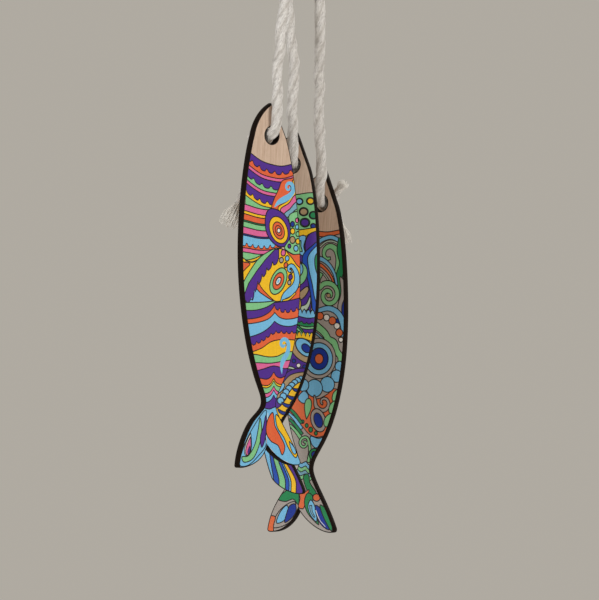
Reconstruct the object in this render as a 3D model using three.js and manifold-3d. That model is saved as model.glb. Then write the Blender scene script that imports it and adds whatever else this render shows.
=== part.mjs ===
// Three fish-shaped boards hung one behind the other on cotton ropes from a wall hook.
//
// Millimetres, +Z up. The wall is the plane y = 0, the object hangs in front of it towards -Y,
// and the origin is the middle of the hook plate's back face.

import * as THREE from 'three';
import { mergeVertices } from 'three/addons/utils/BufferGeometryUtils.js';
import Module from 'manifold-3d';

const wasm = await Module();
wasm.setup();

// ---------- driving dimensions ----------

const GAP = 0.3; // between pieces that touch

const BOARD_THICKNESS = 4.6;
const EYE_RADIUS = 4.8;
const OUTLINE_STEPS = 8; // chords on each stretch of the outline

const ROPE_RADIUS = 3;
const ROPE_SIDES = 10;

const PLATE = { width: 24, height: 60, depth: 4, corner: 6 };
const SCREW_HEIGHT = 20; // of each screw above or below the plate's middle
const SCREW = { hole: 2.4, shank: 1.9, head: 4.2, dome: 2.2 };
const ARM = { radius: 3.5, reach: 50, bend: 8, tip: 16, ball: 4.6, collar: 7, collarDepth: 3 };

const LOOP_DEPTH = -46; // y of the loop and of the knot that hangs from it
const GATHER = { top: -14.5, bottom: -34.8, widest: 13 };

const KNOT = { radius: 7.5, depth: 11, neck: 4.6 };

// Each fish hangs at its eye. yaw turns its painted face about +Z, away from the viewer at -Y, and
// tilt swings its tail to the left in its own plane.
// tail: broad or long for a forked tail, single for one with its right lobe only.
// rope: the route, in the object's own frame, from the gather knot to just above the head.
// turn: the route, in the board's own frame (right, up, out of the painted face), from there
//       down the face and back through the eye.
// tails: the loose ends behind the board, in the board's own frame, each with its fan of fibres.
const FISH = [
  {
    name: 'front',
    eye: [-17.4, -72, -141.75],
    yaw: 38.3,
    tilt: 0,
    tail: 'broad',
    rope: [
      [-2.5, -51.5, -35.7], [-2.6, -51.6, -39], [-4, -53.8, -45], [-6.7, -57.5, -54],
      [-9.2, -61.5, -65], [-11.1, -66, -81], [-12.3, -70.4, -98], [-13.1, -74.2, -111],
      [-13.38, -76.1, -117.5], [-13.4, -76.24, -120.4],
    ],
    turn: [
      [0.5, 20.6, 5.8], [0.5, 16, 5.7], [0.4, 11.5, 5.7], [0.2, 7.4, 5.8],
      [-0.1, 4.2, 5.3], [-0.3, 1.5, 3.7], [-0.3, 0.4, 1.4], [-0.2, 0.2, -2.6],
    ],
    tails: [
      {
        name: 'frayed_end',
        route: [[-4.4, -6.7, -9], [-6.2, -13, -9.4], [-8.4, -23, -9.6], [-11.4, -32.5, -9.4],
          [-15.8, -39.5, -9]],
        fan: { start: 3, end: 6, length: 15.5 },
      },
    ],
  },
  {
    name: 'middle',
    eye: [-4.06, -46, -157.8],
    yaw: -18,
    tilt: 4.2,
    tail: 'single',
    rope: [
      [-4.5, -44, -35.7], [-4.6, -44.1, -39], [-5.4, -44.9, -45], [-6.5, -46.4, -54],
      [-7, -48, -64], [-5.8, -49.4, -80.5], [-5, -50.2, -91], [-3.5, -50.7, -101],
      [-3.2, -50.9, -107], [-4.2, -51.3, -119], [-4.22, -51.95, -133.5], [-4.22, -52.05, -136.65],
    ],
    turn: [
      [0.2, 20.6, 5.8], [0.6, 16, 5.7], [1.3, 11.5, 5.7], [1.7, 7.4, 5.8],
      [1.4, 4.2, 5.3], [0.7, 1.5, 3.7], [0.2, 0.4, 1.4], [0, 0.2, -2.6],
    ],
    tails: [
      {
        name: 'frayed_end',
        route: [[0.5, -8, -8.6], [0.9, -13, -9], [0.6, -19, -9], [0, -24, -8.8]],
        fan: { start: 3, end: 4.4, length: 12 },
      },
    ],
  },
  {
    name: 'rear',
    eye: [12.8, -20, -179.5],
    yaw: -30,
    tilt: 3.7,
    tail: 'long',
    rope: [
      [3.8, -44.5, -35.7], [3.95, -44.4, -39], [6, -43.2, -45], [9.4, -40.5, -54],
      [11.3, -37.8, -64], [11.4, -35, -78], [11.4, -32, -95], [11.3, -29.6, -113],
      [10.9, -27.4, -133], [11.4, -26.6, -147], [12.2, -26.4, -155], [12.24, -26.4, -158.3],
    ],
    turn: [
      [1.3, 20.6, 5.8], [1.7, 16, 5.7], [1.7, 11.5, 5.7], [1.4, 7.4, 5.8],
      [0.9, 4.2, 5.3], [0.4, 1.5, 3.7], [0.1, 0.4, 1.4], [0, 0.2, -2.6],
    ],
    tails: [
      {
        name: 'frayed_end',
        route: [[5.2, -6.2, -8.6], [6.3, -8.2, -8.4], [7.2, -10.2, -8.1], [8, -12, -7.9]],
        fan: { start: 2.8, end: 4.4, length: 13 },
      },
      {
        name: 'short_tuft',
        route: [[4.6, 6.6, -9], [5.3, 7.6, -9], [6, 8.6, -9]],
        fan: { start: 2.2, end: 3.2, length: 6 },
      },
    ],
  },
];

// ---------- materials ----------

const paint = new THREE.MeshStandardMaterial({ color: 0x6f8f86, roughness: 0.6, metalness: 0 });
const cotton = new THREE.MeshStandardMaterial({ color: 0xcfc6ba, roughness: 0.95, metalness: 0 });
const steel = new THREE.MeshStandardMaterial({ color: 0x4a4744, roughness: 0.5, metalness: 0.9 });
const zinc = new THREE.MeshStandardMaterial({ color: 0x8d8a84, roughness: 0.35, metalness: 1 });

// ---------- shape helpers ----------

function solidOf(geometry) {
  const bare = geometry.clone();
  bare.deleteAttribute('normal');
  bare.deleteAttribute('uv');
  const merged = mergeVertices(bare, 1e-4);
  return new wasm.Manifold(new wasm.Mesh({
    numProp: 3,
    vertProperties: new Float32Array(merged.attributes.position.array),
    triVerts: new Uint32Array(merged.index.array),
  }));
}

function geometryOf(solid) {
  const { vertProperties, triVerts } = solid.getMesh();
  const geometry = new THREE.BufferGeometry();
  geometry.setAttribute('position', new THREE.BufferAttribute(new Float32Array(vertProperties), 3));
  geometry.setIndex(new THREE.BufferAttribute(new Uint32Array(triVerts), 1));
  geometry.computeVertexNormals();
  return geometry;
}

function join(...geometries) {
  return geometryOf(geometries.map(solidOf).reduce((whole, piece) => whole.add(piece)));
}

function named(name, geometry, material) {
  const mesh = new THREE.Mesh(geometry, material);
  mesh.name = name;
  return mesh;
}

function circle(radius, sides = ROPE_SIDES) {
  const corners = [];
  for (let i = 0; i < sides; i += 1) {
    const angle = (2 * Math.PI * i) / sides;
    corners.push(new THREE.Vector2(radius * Math.cos(angle), radius * Math.sin(angle)));
  }
  return new THREE.Shape(corners);
}

function curveThrough(route) {
  return new THREE.CatmullRomCurve3(route.map((p) => new THREE.Vector3(...p)), false, 'centripetal');
}

function tube(path, radius, stepLength = 2.2 * radius) {
  const steps = Math.max(4, Math.round(path.getLength() / stepLength));
  return new THREE.ExtrudeGeometry(circle(radius), { steps, bevelEnabled: false, extrudePath: path });
}

// a turned solid, from [radius, height] pairs that start and end on its axis, with the axis along +Z
function turned(profile, segments = 16) {
  const points = profile.map(([radius, height]) => new THREE.Vector2(radius, height));
  return new THREE.LatheGeometry(points, segments).rotateX(Math.PI / 2);
}

// ---------- the hook ----------

function plateShape({ width, height, corner }) {
  const x = width / 2;
  const y = height / 2;
  const shape = new THREE.Shape();
  shape.moveTo(-x + corner, -y);
  shape.lineTo(x - corner, -y);
  shape.quadraticCurveTo(x, -y, x, -y + corner);
  shape.lineTo(x, y - corner);
  shape.quadraticCurveTo(x, y, x - corner, y);
  shape.lineTo(-x + corner, y);
  shape.quadraticCurveTo(-x, y, -x, y - corner);
  shape.lineTo(-x, -y + corner);
  shape.quadraticCurveTo(-x, -y, -x + corner, -y);
  for (const side of [-1, 1]) {
    shape.holes.push(new THREE.Path().absarc(0, side * SCREW_HEIGHT, SCREW.hole, 0, 2 * Math.PI));
  }
  return shape;
}

function hookPlate() {
  const geometry = new THREE.ExtrudeGeometry(plateShape(PLATE), {
    depth: PLATE.depth,
    bevelEnabled: false,
    curveSegments: 12,
  });
  return named('hook_plate', geometry.rotateX(Math.PI / 2), steel);
}

function hookArm() {
  const front = -PLATE.depth - GAP;
  const corner = -ARM.reach - ARM.bend;
  const path = new THREE.CurvePath();
  path.add(new THREE.LineCurve3(
    new THREE.Vector3(0, front - 1, 0),
    new THREE.Vector3(0, -ARM.reach, 0),
  ));
  path.add(new THREE.QuadraticBezierCurve3(
    new THREE.Vector3(0, -ARM.reach, 0),
    new THREE.Vector3(0, corner, 0),
    new THREE.Vector3(0, corner, ARM.bend),
  ));
  path.add(new THREE.LineCurve3(
    new THREE.Vector3(0, corner, ARM.bend),
    new THREE.Vector3(0, corner, ARM.tip),
  ));
  const rod = new THREE.ExtrudeGeometry(circle(ARM.radius, 12), {
    steps: 30,
    bevelEnabled: false,
    extrudePath: path,
  });
  const ball = new THREE.SphereGeometry(ARM.ball, 16, 10).translate(0, corner, ARM.tip);
  const collar = turned([
    [0, 0], [ARM.collar, 0], [ARM.collar, 1.4], [ARM.radius + 1, ARM.collarDepth],
    [0, ARM.collarDepth],
  ], 20).rotateX(Math.PI / 2).translate(0, front, 0);
  return named('hook_arm', join(rod, ball, collar), steel);
}

function hookScrew(name, side) {
  const { shank, head, dome } = SCREW;
  const seat = PLATE.depth + GAP;
  const geometry = turned([
    [0, GAP], [shank, GAP], [shank, seat], [head, seat], [head * 0.86, seat + dome * 0.6],
    [head * 0.45, seat + dome], [0, seat + dome],
  ]);
  const mesh = named(name, geometry.rotateX(Math.PI / 2), zinc);
  mesh.position.z = side * SCREW_HEIGHT;
  return mesh;
}

// ---------- what hangs from the hook ----------

function hangingLoop() {
  const side = [[4.7, -14.1], [4.8, -12], [6.2, -7.5], [7.2, -2], [6.6, 2.8], [4.1, 6.1]];
  const across = ([x, z], mirror) => [mirror * x, LOOP_DEPTH, z];
  const route = [
    ...side.map((p) => across(p, -1)),
    [0, LOOP_DEPTH, 7.3],
    ...side.map((p) => across(p, 1)).reverse(),
  ];
  return named('hanging_loop', tube(curveThrough(route), ROPE_RADIUS, 4), cotton);
}

function gatherKnot() {
  const { top, bottom, widest } = GATHER;
  const geometry = turned([
    [0, bottom], [9.6, bottom], [12.2, bottom + 4], [widest, bottom + 10],
    [11.6, top - 4.2], [8.6, top], [0, top],
  ]);
  const mesh = named('gather_knot', geometry, cotton);
  mesh.position.y = LOOP_DEPTH;
  return mesh;
}

// ---------- the fish ----------

// The outline round the eye at (0, 0): from the tip of the head down the right side, round the
// tail and back up the left. The head leans a little to the right of the body.
function fishShape(tail) {
  const shape = new THREE.Shape();
  const curve = (...points) => shape.bezierCurveTo(...points.flat());
  const bend = (...points) => shape.quadraticCurveTo(...points.flat());

  shape.moveTo(1.2, 18.6);
  curve([3.4, 14.2], [6.9, 6.2], [9.8, 0]);
  curve([15.6, -12.5], [20.9, -50], [20.9, -80]);
  curve([20.9, -104], [16.5, -126], [8.5, -140.5]);
  curve([5.6, -146.2], [3, -149.5], [3, -154]);
  if (tail === 'long') {
    curve([3, -160], [13.5, -171.5], [20.8, -187.4]);
    bend([21.8, -190.4], [18.2, -190.3]);
    curve([11, -190.4], [1.5, -184.5], [-3.2, -178]);
    curve([-5.5, -185.5], [-12, -192.4], [-20.5, -193]);
    bend([-23.8, -193.3], [-23.1, -190.6]);
    curve([-21, -172.5], [-5.6, -160.5], [-4.7, -152]);
  } else if (tail === 'broad') {
    curve([3, -160], [13.5, -171], [20.6, -186]);
    bend([21.6, -188.9], [18, -188.8]);
    curve([11, -189], [1.5, -183.5], [-3.6, -177]);
    curve([-5, -184], [-12.5, -188.7], [-21.3, -189.5]);
    bend([-24.3, -189.8], [-23.7, -187.4]);
    curve([-22.8, -179], [-17.5, -166.5], [-11.5, -161]);
    curve([-8, -157.7], [-4.7, -155.7], [-4.7, -152]);
  } else {
    curve([3, -160], [13.5, -171], [20.6, -186]);
    bend([21.6, -188.9], [18, -188.8]);
    curve([11, -189], [1.5, -183.5], [0.6, -180]);
    curve([-1, -177], [-3.2, -171], [-4.8, -166]);
    curve([-6.4, -161], [-4.7, -157], [-4.7, -152]);
  }
  if (tail === 'single') {
    curve([-4.7, -149], [-4.9, -145], [-5.6, -140.6]);
    curve([-12, -122.5], [-19.5, -95], [-20.5, -66]);
    curve([-20.7, -40], [-17.3, -13], [-12.9, 0.3]);
  } else {
    curve([-4.7, -149], [-6.2, -146], [-8.6, -140.6]);
    curve([-16, -122.5], [-21.5, -95], [-21.5, -66]);
    curve([-21.5, -40], [-17.3, -13], [-12.9, 0.3]);
  }
  curve([-11.2, 8.5], [-5.5, 15.6], [1.2, 18.6]);
  shape.holes.push(new THREE.Path().absarc(0, 0, EYE_RADIUS, 0, 2 * Math.PI));
  return shape;
}

function fishBoard(fish) {
  const geometry = new THREE.ExtrudeGeometry(fishShape(fish.tail), {
    depth: BOARD_THICKNESS,
    bevelEnabled: false,
    curveSegments: OUTLINE_STEPS,
  });
  geometry.translate(0, 0, -BOARD_THICKNESS / 2);
  return named(`${fish.name}_fish_board`, geometry, paint);
}

// the knot behind the board that stops the rope from pulling back through the eye
function stopperKnot(fish) {
  const { radius, depth, neck } = KNOT;
  const face = -BOARD_THICKNESS / 2 - 2 * GAP;
  const geometry = turned([
    [0, face - depth], [neck, face - depth], [radius * 0.93, face - depth * 0.78],
    [radius, face - depth * 0.5], [radius * 0.93, face - depth * 0.22], [neck, face], [0, face],
  ]);
  return named(`${fish.name}_stopper_knot`, geometry, cotton);
}

// a loose end of rope that opens into a fan of fibres
function looseEnd(fish, { name, route, fan }) {
  const path = curveThrough(route);
  const end = path.getPointAt(1);
  const direction = path.getTangentAt(1);
  const overlap = 0.5; // of the fan's root inside the rope
  const cone = turned([
    [0, 0], [fan.start * 0.97, 0], [fan.end, fan.length * 0.75],
    [fan.end * 0.8, fan.length], [0, fan.length],
  ], 12);
  cone.applyQuaternion(
    new THREE.Quaternion().setFromUnitVectors(new THREE.Vector3(0, 0, 1), direction),
  );
  cone.translate(...end.addScaledVector(direction, -overlap).toArray());
  const rope = tube(path, fan.start, 4);
  return named(`${fish.name}_${name}`, join(rope, cone), cotton);
}

function hangingFish(fish) {
  const rope = named(`${fish.name}_rope`, tube(curveThrough(fish.rope), ROPE_RADIUS), cotton);
  const turn = named(`${fish.name}_rope_turn`, tube(curveThrough(fish.turn), ROPE_RADIUS, 2), cotton);

  const upright = new THREE.Group(); // its +Z is out of the painted face
  upright.rotation.set(Math.PI / 2, 0, -THREE.MathUtils.degToRad(fish.tilt));
  upright.add(fishBoard(fish), turn, stopperKnot(fish));
  upright.add(...fish.tails.map((tail) => looseEnd(fish, tail)));

  const turnedFish = new THREE.Group();
  turnedFish.position.set(...fish.eye);
  turnedFish.rotation.z = THREE.MathUtils.degToRad(fish.yaw);
  turnedFish.add(upright);

  const whole = new THREE.Group();
  whole.add(rope, turnedFish);
  return whole;
}

// ---------- the object ----------

const object = new THREE.Group();
object.add(hookPlate(), hookArm());
object.add(hookScrew('hook_screw_upper', 1), hookScrew('hook_screw_lower', -1));
object.add(hangingLoop(), gatherKnot());
object.add(...FISH.map(hangingFish));

export default object;
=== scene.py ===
"""Three painted wooden fish hung on cotton ropes from a wall hook: looks, camera and light."""

import math
import random

import bpy
from mathutils import Matrix, Vector, noise
from mathutils.geometry import delaunay_2d_cdt


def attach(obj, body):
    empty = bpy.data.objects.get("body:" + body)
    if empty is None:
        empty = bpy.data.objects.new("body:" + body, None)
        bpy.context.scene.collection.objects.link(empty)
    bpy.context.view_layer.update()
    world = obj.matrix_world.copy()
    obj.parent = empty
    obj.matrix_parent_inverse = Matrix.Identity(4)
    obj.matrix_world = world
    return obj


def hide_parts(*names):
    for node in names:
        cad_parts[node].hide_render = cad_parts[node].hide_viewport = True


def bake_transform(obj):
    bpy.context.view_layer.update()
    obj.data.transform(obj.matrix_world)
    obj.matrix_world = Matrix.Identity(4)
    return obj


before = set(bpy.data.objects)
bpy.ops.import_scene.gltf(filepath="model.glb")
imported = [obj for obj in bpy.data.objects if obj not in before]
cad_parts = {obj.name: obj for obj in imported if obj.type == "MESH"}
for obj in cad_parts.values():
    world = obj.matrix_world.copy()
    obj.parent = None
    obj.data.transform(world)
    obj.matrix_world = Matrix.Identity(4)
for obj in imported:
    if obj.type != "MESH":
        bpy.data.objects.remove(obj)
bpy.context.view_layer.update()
noise.seed_set(1)  # or noise_vector would differ from run to run

MM = 0.001

# ---------------------------------------------------------------- the object's own sizes, in mm

BOARD = 4.6  # thickness
EASED = 0.3  # how far its front and back corners are rounded
EYE = 4.8  # radius of the hole
HOLE_SIDES = 44
BURN_EDGE = 0.2  # how far the char runs out past the board's outline,
BURN_FACE = 0.62  # in from it on the painted face,
BURN_EYE = 0.75  # and out from the hole
ROPE = 3.0  # radius
TIGHT = 2.75  # the same where a stopper knot is drawn tight
LAY = 36.0  # one full turn of the rope's strands
LOOSE_FIBRES = 170  # in each frayed end
LOOP_Y = -46  # of the hanging loop, the knot under it and the middle of the three ropes

FISH = {
    "front": {
        "eye": (-17.4, -72, -141.75), "yaw": 38.3, "tilt": 0, "tail": "broad",
        "rope": [(-2.5, -51.5, -35.7), (-2.6, -51.6, -39), (-4, -53.8, -45), (-6.7, -57.5, -54),
                 (-9.2, -61.5, -65), (-11.1, -66, -81), (-12.3, -70.4, -98), (-13.1, -74.2, -111),
                 (-13.38, -76.1, -117.5), (-13.4, -76.24, -120.4)],
        "turn": [(0.5, 20.6, 5.8), (0.5, 16, 5.7), (0.4, 11.5, 5.7), (0.2, 7.4, 5.8),
                 (-0.1, 4.2, 5.3), (-0.3, 1.5, 3.7), (-0.3, 0.4, 1.4), (-0.2, 0.2, -2.6)],
        "loose": [("frayed_end", [(-4.4, -6.7, -9), (-6.2, -13, -9.4), (-8.4, -23, -9.6),
                                  (-11.4, -32.5, -9.4), (-15.8, -39.5, -9)], 3, 6, 15.5)],
        "blend": (-96, -119),
    },
    "middle": {
        "eye": (-4.06, -46, -157.8), "yaw": -18, "tilt": 4.2, "tail": "single",
        "rope": [(-4.5, -44, -35.7), (-4.6, -44.1, -39), (-5.4, -44.9, -45), (-6.5, -46.4, -54),
                 (-7, -48, -64), (-5.8, -49.4, -80.5), (-5, -50.2, -91), (-3.5, -50.7, -101),
                 (-3.2, -50.9, -107), (-4.2, -51.3, -119), (-4.22, -51.95, -133.5),
                 (-4.22, -52.05, -136.65)],
        "turn": [(0.2, 20.6, 5.8), (0.6, 16, 5.7), (1.3, 11.5, 5.7), (1.7, 7.4, 5.8),
                 (1.4, 4.2, 5.3), (0.7, 1.5, 3.7), (0.2, 0.4, 1.4), (0, 0.2, -2.6)],
        "loose": [("frayed_end", [(0.5, -8, -8.6), (0.9, -13, -9), (0.6, -19, -9), (0, -24, -8.8)],
                   3, 4.4, 12)],
        "blend": (-112, -135),
    },
    "rear": {
        "eye": (12.8, -20, -179.5), "yaw": -30, "tilt": 3.7, "tail": "long",
        "rope": [(3.8, -44.5, -35.7), (3.95, -44.4, -39), (6, -43.2, -45), (9.4, -40.5, -54),
                 (11.3, -37.8, -64), (11.4, -35, -78), (11.4, -32, -95), (11.3, -29.6, -113),
                 (10.9, -27.4, -133), (11.4, -26.6, -147), (12.2, -26.4, -155),
                 (12.24, -26.4, -158.3)],
        "turn": [(1.3, 20.6, 5.8), (1.7, 16, 5.7), (1.7, 11.5, 5.7), (1.4, 7.4, 5.8),
                 (0.9, 4.2, 5.3), (0.4, 1.5, 3.7), (0.1, 0.4, 1.4), (0, 0.2, -2.6)],
        "loose": [("frayed_end", [(5.2, -6.2, -8.6), (6.3, -8.2, -8.4), (7.2, -10.2, -8.1),
                                  (8, -12, -7.9)], 2.8, 4.4, 13),
                  ("short_tuft", [(4.6, 6.6, -9), (5.3, 7.6, -9), (6, 8.6, -9)], 2.2, 3.2, 6)],
        "blend": (-134, -157),
    },
}


def board_frame(fish):
    """The board's own axes (right, up, out of the painted face) as a matrix, in mm."""
    yaw, tilt = math.radians(fish["yaw"]), math.radians(fish["tilt"])
    across = Vector((math.cos(yaw), math.sin(yaw), 0))
    up = Vector((0, 0, 1))
    u = math.cos(tilt) * across - math.sin(tilt) * up
    v = math.sin(tilt) * across + math.cos(tilt) * up
    w = Vector((math.sin(yaw), -math.cos(yaw), 0))
    m = Matrix((u, v, w)).transposed().to_4x4()
    m.translation = Vector(fish["eye"])
    return m


# ---------------------------------------------------------------- curves

def catmull(points, closed=False, step=1.0):
    """Points along a centripetal Catmull-Rom curve through the given ones."""
    p = [Vector(q) for q in points]
    n = len(p)
    if closed:
        p = [p[-1]] + p + [p[0], p[1]]
        spans = n
    else:
        p = [2 * p[0] - p[1]] + p + [2 * p[-1] - p[-2]]
        spans = n - 1
    out = []
    for i in range(spans):
        a, b, c, d = p[i:i + 4]
        t1 = max((b - a).length, 1e-6) ** 0.5
        t2 = t1 + max((c - b).length, 1e-6) ** 0.5
        t3 = t2 + max((d - c).length, 1e-6) ** 0.5
        k = max(1, round((c - b).length / step))
        for j in range(k):
            t = t1 + (t2 - t1) * j / k
            A1 = a * ((t1 - t) / t1) + b * (t / t1)
            A2 = b * ((t2 - t) / (t2 - t1)) + c * ((t - t1) / (t2 - t1))
            A3 = c * ((t3 - t) / (t3 - t2)) + d * ((t - t2) / (t3 - t2))
            B1 = A1 * ((t2 - t) / t2) + A2 * (t / t2)
            B2 = A2 * ((t3 - t) / (t3 - t1)) + A3 * ((t - t1) / (t3 - t1))
            out.append(B1 * ((t2 - t) / (t2 - t1)) + B2 * ((t - t1) / (t2 - t1)))
    if not closed:
        out.append(p[-2].copy())
    return out


def flat(line):
    return [(p.x, p.y) for p in line]


def length_of(points):
    return sum((b - a).length for a, b in zip(points, points[1:]))


def even(points, step):
    """The same line with points evenly spaced along it."""
    lengths = [0.0]
    for a, b in zip(points, points[1:]):
        lengths.append(lengths[-1] + (b - a).length)
    total = lengths[-1]
    k = max(2, round(total / step))
    out, i = [], 0
    for j in range(k + 1):
        s = total * j / k
        while i < len(lengths) - 2 and lengths[i + 1] < s:
            i += 1
        f = (s - lengths[i]) / max(lengths[i + 1] - lengths[i], 1e-9)
        out.append(points[i].lerp(points[i + 1], min(max(f, 0), 1)))
    return out


def frames_along(points):
    """(point, tangent, normal, binormal) with no needless turning."""
    tangents = []
    for i in range(len(points)):
        a, b = points[max(i - 1, 0)], points[min(i + 1, len(points) - 1)]
        tangents.append((b - a).normalized())
    side = Vector((1, 0, 0)) if abs(tangents[0].x) < 0.8 else Vector((0, 1, 0))
    n = (side - side.dot(tangents[0]) * tangents[0]).normalized()
    out = []
    for p, t in zip(points, tangents):
        n = (n - n.dot(t) * t).normalized()
        out.append((p, t, n, t.cross(n)))
    return out


# ---------------------------------------------------------------- materials

class Surface:
    """A material on one principled shader, with short names for the nodes that feed it."""

    def __init__(self, name):
        self.material = bpy.data.materials.new(name)
        self.material.use_nodes = True
        self.nodes, self.links = self.material.node_tree.nodes, self.material.node_tree.links
        self.nodes.clear()
        out = self.nodes.new("ShaderNodeOutputMaterial")
        self.shader = self.nodes.new("ShaderNodeBsdfPrincipled")
        self.links.new(self.shader.outputs[0], out.inputs[0])

    def feed(self, node, inputs):
        """Links or sets the named inputs of a node, and returns the node."""
        for name, value in inputs.items():
            if isinstance(value, bpy.types.NodeSocket):
                self.links.new(value, node.inputs[name])
            else:
                node.inputs[name].default_value = value
        return node

    def made(self, inputs):
        """Feeds the shader and returns the material."""
        self.feed(self.shader, inputs)
        return self.material

    def uv(self, name):
        n = self.nodes.new("ShaderNodeUVMap")
        n.uv_map = name
        return n.outputs[0]

    def place(self):
        return self.nodes.new("ShaderNodeTexCoord").outputs["Object"]

    def attribute(self, name, output="Fac"):
        n = self.nodes.new("ShaderNodeAttribute")
        n.attribute_name = name
        return n.outputs[output]

    def noise(self, vector, scale=1.0, detail=4.0, roughness=0.55, distortion=0.0):
        n = self.feed(self.nodes.new("ShaderNodeTexNoise"), {
            "Vector": vector, "Scale": scale, "Detail": detail, "Roughness": roughness,
            "Distortion": distortion})
        return n.outputs["Fac"]

    def streaks(self, vector, scale, *noise):
        """Noise drawn out along an axis: the smaller its scale there, the longer."""
        n = self.feed(self.nodes.new("ShaderNodeMapping"), {"Vector": vector, "Scale": scale})
        return self.noise(n.outputs[0], 1.0, *noise)

    def ramp(self, fac, *stops):
        n = self.feed(self.nodes.new("ShaderNodeValToRGB"), {0: fac})
        e = n.color_ramp.elements
        while len(e) < len(stops):
            e.new(0.5)
        for item, (position, value) in zip(e, stops):
            item.position = position
            item.color = (*value, 1) if isinstance(value, tuple) else (value, value, value, 1)
        return n.outputs[0]

    def math(self, kind, a, b):
        n = self.nodes.new("ShaderNodeMath")
        n.operation = kind
        return self.feed(n, {0: a, 1: b}).outputs[0]

    def mix(self, kind, fac, a, b):
        """Colour b over colour a."""
        n = self.nodes.new("ShaderNodeMix")
        n.data_type = "RGBA"
        n.blend_type = kind
        a, b = ((*c, 1) if isinstance(c, tuple) else c for c in (a, b))
        return self.feed(n, {0: fac, 6: a, 7: b}).outputs[2]

    def times(self, fac, a, b):
        return self.mix("MULTIPLY", fac, a, b)

    def bump(self, height, strength, distance):
        return self.feed(self.nodes.new("ShaderNodeBump"), {
            "Height": height, "Strength": strength, "Distance": distance}).outputs[0]


def cotton_material(name, dark, mid, light, relief):
    """Soft undyed cotton: fine fibres along each yarn, grey-cream, with painted shade down in the
    grooves.
    """
    k = Surface(name)
    uv = k.uv("yarn")
    fibres = k.streaks(uv, (2.4, 0.42, 1), 6, 0.68, 0.35)
    yarns = k.streaks(uv, (1.7, 0.12, 1), 3, 0.5, 0.6)
    patches = k.noise(k.place(), 70, 3)
    colour = k.ramp(fibres, (0.36, dark), (0.50, mid), (0.64, light))
    colour = k.times(0.55, colour, k.ramp(patches, (0.3, (0.84, 0.82, 0.80)), (0.7, 1.0)))
    # painted shade: the deeper a point lies in a groove between two strands, the darker its colour
    colour = k.times(k.math("MULTIPLY", k.attribute("groove"), 0.45), colour, (0.62, 0.58, 0.53))
    height = k.math("ADD", fibres, k.math("MULTIPLY", yarns, 1.4))
    return k.made({"Base Color": colour, "Normal": k.bump(height, 0.85, relief), "Roughness": 0.93,
                   "Sheen Weight": 0.25, "Sheen Roughness": 0.5, "Specular IOR Level": 0.2})


def paint_material():
    """Hand-laid paint on wood: its colour is in the mesh, and the wood's grain shows through."""
    k = Surface("paint on wood")
    uv = k.uv("board")
    bare = k.attribute("bare")
    grain = k.streaks(uv, (1.5, 0.055, 1), 6, 0.62, 0.7)
    pores = k.streaks(uv, (6.0, 0.30, 1), 3, 0.6)
    rings = k.streaks(uv, (0.22, 0.012, 1), 2, 0.5, 1.2)
    strokes = k.streaks(uv, (0.9, 1.6, 1), 4, 0.6, 1.0)
    wood = k.ramp(grain, (0.30, (0.47, 0.335, 0.25)), (0.52, (0.60, 0.455, 0.355)),
                  (0.75, (0.69, 0.55, 0.45)))
    wood = k.times(0.5, wood, k.ramp(rings, (0.35, (0.80, 0.72, 0.66)), (0.65, 1.0)))
    wood = k.times(0.55, wood, k.ramp(pores, (0.30, (0.66, 0.58, 0.50)), (0.46, 1.0)))
    laid = k.times(0.75, k.attribute("paint", "Color"), k.ramp(strokes, (0.28, 0.80), (0.70, 1.0)))
    laid = k.times(0.35, laid, k.ramp(grain, (0.30, 0.72), (0.60, 1.0)))
    rough = k.math("ADD", k.math("MULTIPLY", strokes, 0.18), k.math("MULTIPLY", bare, 0.14))
    height = k.math("ADD", k.math("MULTIPLY", grain, 0.6), k.math("MULTIPLY", pores, 0.5))
    height = k.math("ADD", height, k.math("MULTIPLY", strokes, 0.35))
    return k.made({"Base Color": k.mix("MIX", bare, laid, wood),
                   "Roughness": k.math("ADD", rough, 0.38),
                   "Normal": k.bump(height, 0.35, 0.00012), "Specular IOR Level": 0.22})


def rim_material():
    """The board's cut edge, burnt dark brown, with fine upright burn marks and faint plies."""
    k = Surface("charred edge")
    uv = k.uv("board")
    marks = k.streaks(uv, (3.2, 0.22, 1), 5, 0.65, 0.2)
    plies = k.streaks(uv, (0.04, 1.1, 1), 2, 0.5)
    drift = k.streaks(uv, (0.09, 0.2, 1), 3)
    colour = k.ramp(marks, (0.28, (0.004, 0.002, 0.001)), (0.60, (0.011, 0.005, 0.0025)),
                    (0.80, (0.032, 0.014, 0.0065)))
    colour = k.times(0.7, colour, k.ramp(drift, (0.35, 0.55), (0.65, 1.0)))
    colour = k.mix("ADD", 0.25, colour, k.ramp(plies, (0.55, 0.0), (0.75, (0.028, 0.012, 0.005))))
    return k.made({"Base Color": colour, "Roughness": k.ramp(marks, (0.3, 0.55), (0.7, 0.82)),
                   "Normal": k.bump(k.math("ADD", marks, plies), 0.5, 0.00012),
                   "Specular IOR Level": 0.07})


def back_material():
    """The unpainted back: pale plywood with grain and pores."""
    k = Surface("bare wood back")
    uv = k.uv("board")
    grain = k.streaks(uv, (1.1, 0.045, 1), 6, 0.62, 0.9)
    rings = k.streaks(uv, (0.25, 0.010, 1), 3, 0.5, 1.6)
    pores = k.streaks(uv, (6.5, 0.25, 1), 3, 0.6)
    wood = k.ramp(grain, (0.28, (0.46, 0.30, 0.19)), (0.52, (0.63, 0.44, 0.30)),
                  (0.78, (0.73, 0.55, 0.40)))
    wood = k.times(0.7, wood, k.ramp(rings, (0.36, (0.74, 0.62, 0.52)), (0.62, 1.0)))
    wood = k.times(0.6, wood, k.ramp(pores, (0.30, (0.60, 0.50, 0.42)), (0.46, 1.0)))
    return k.made({"Base Color": wood, "Roughness": k.ramp(grain, (0.3, 0.52), (0.7, 0.68)),
                   "Normal": k.bump(k.math("ADD", grain, pores), 0.4, 0.00015),
                   "Specular IOR Level": 0.3})


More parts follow.
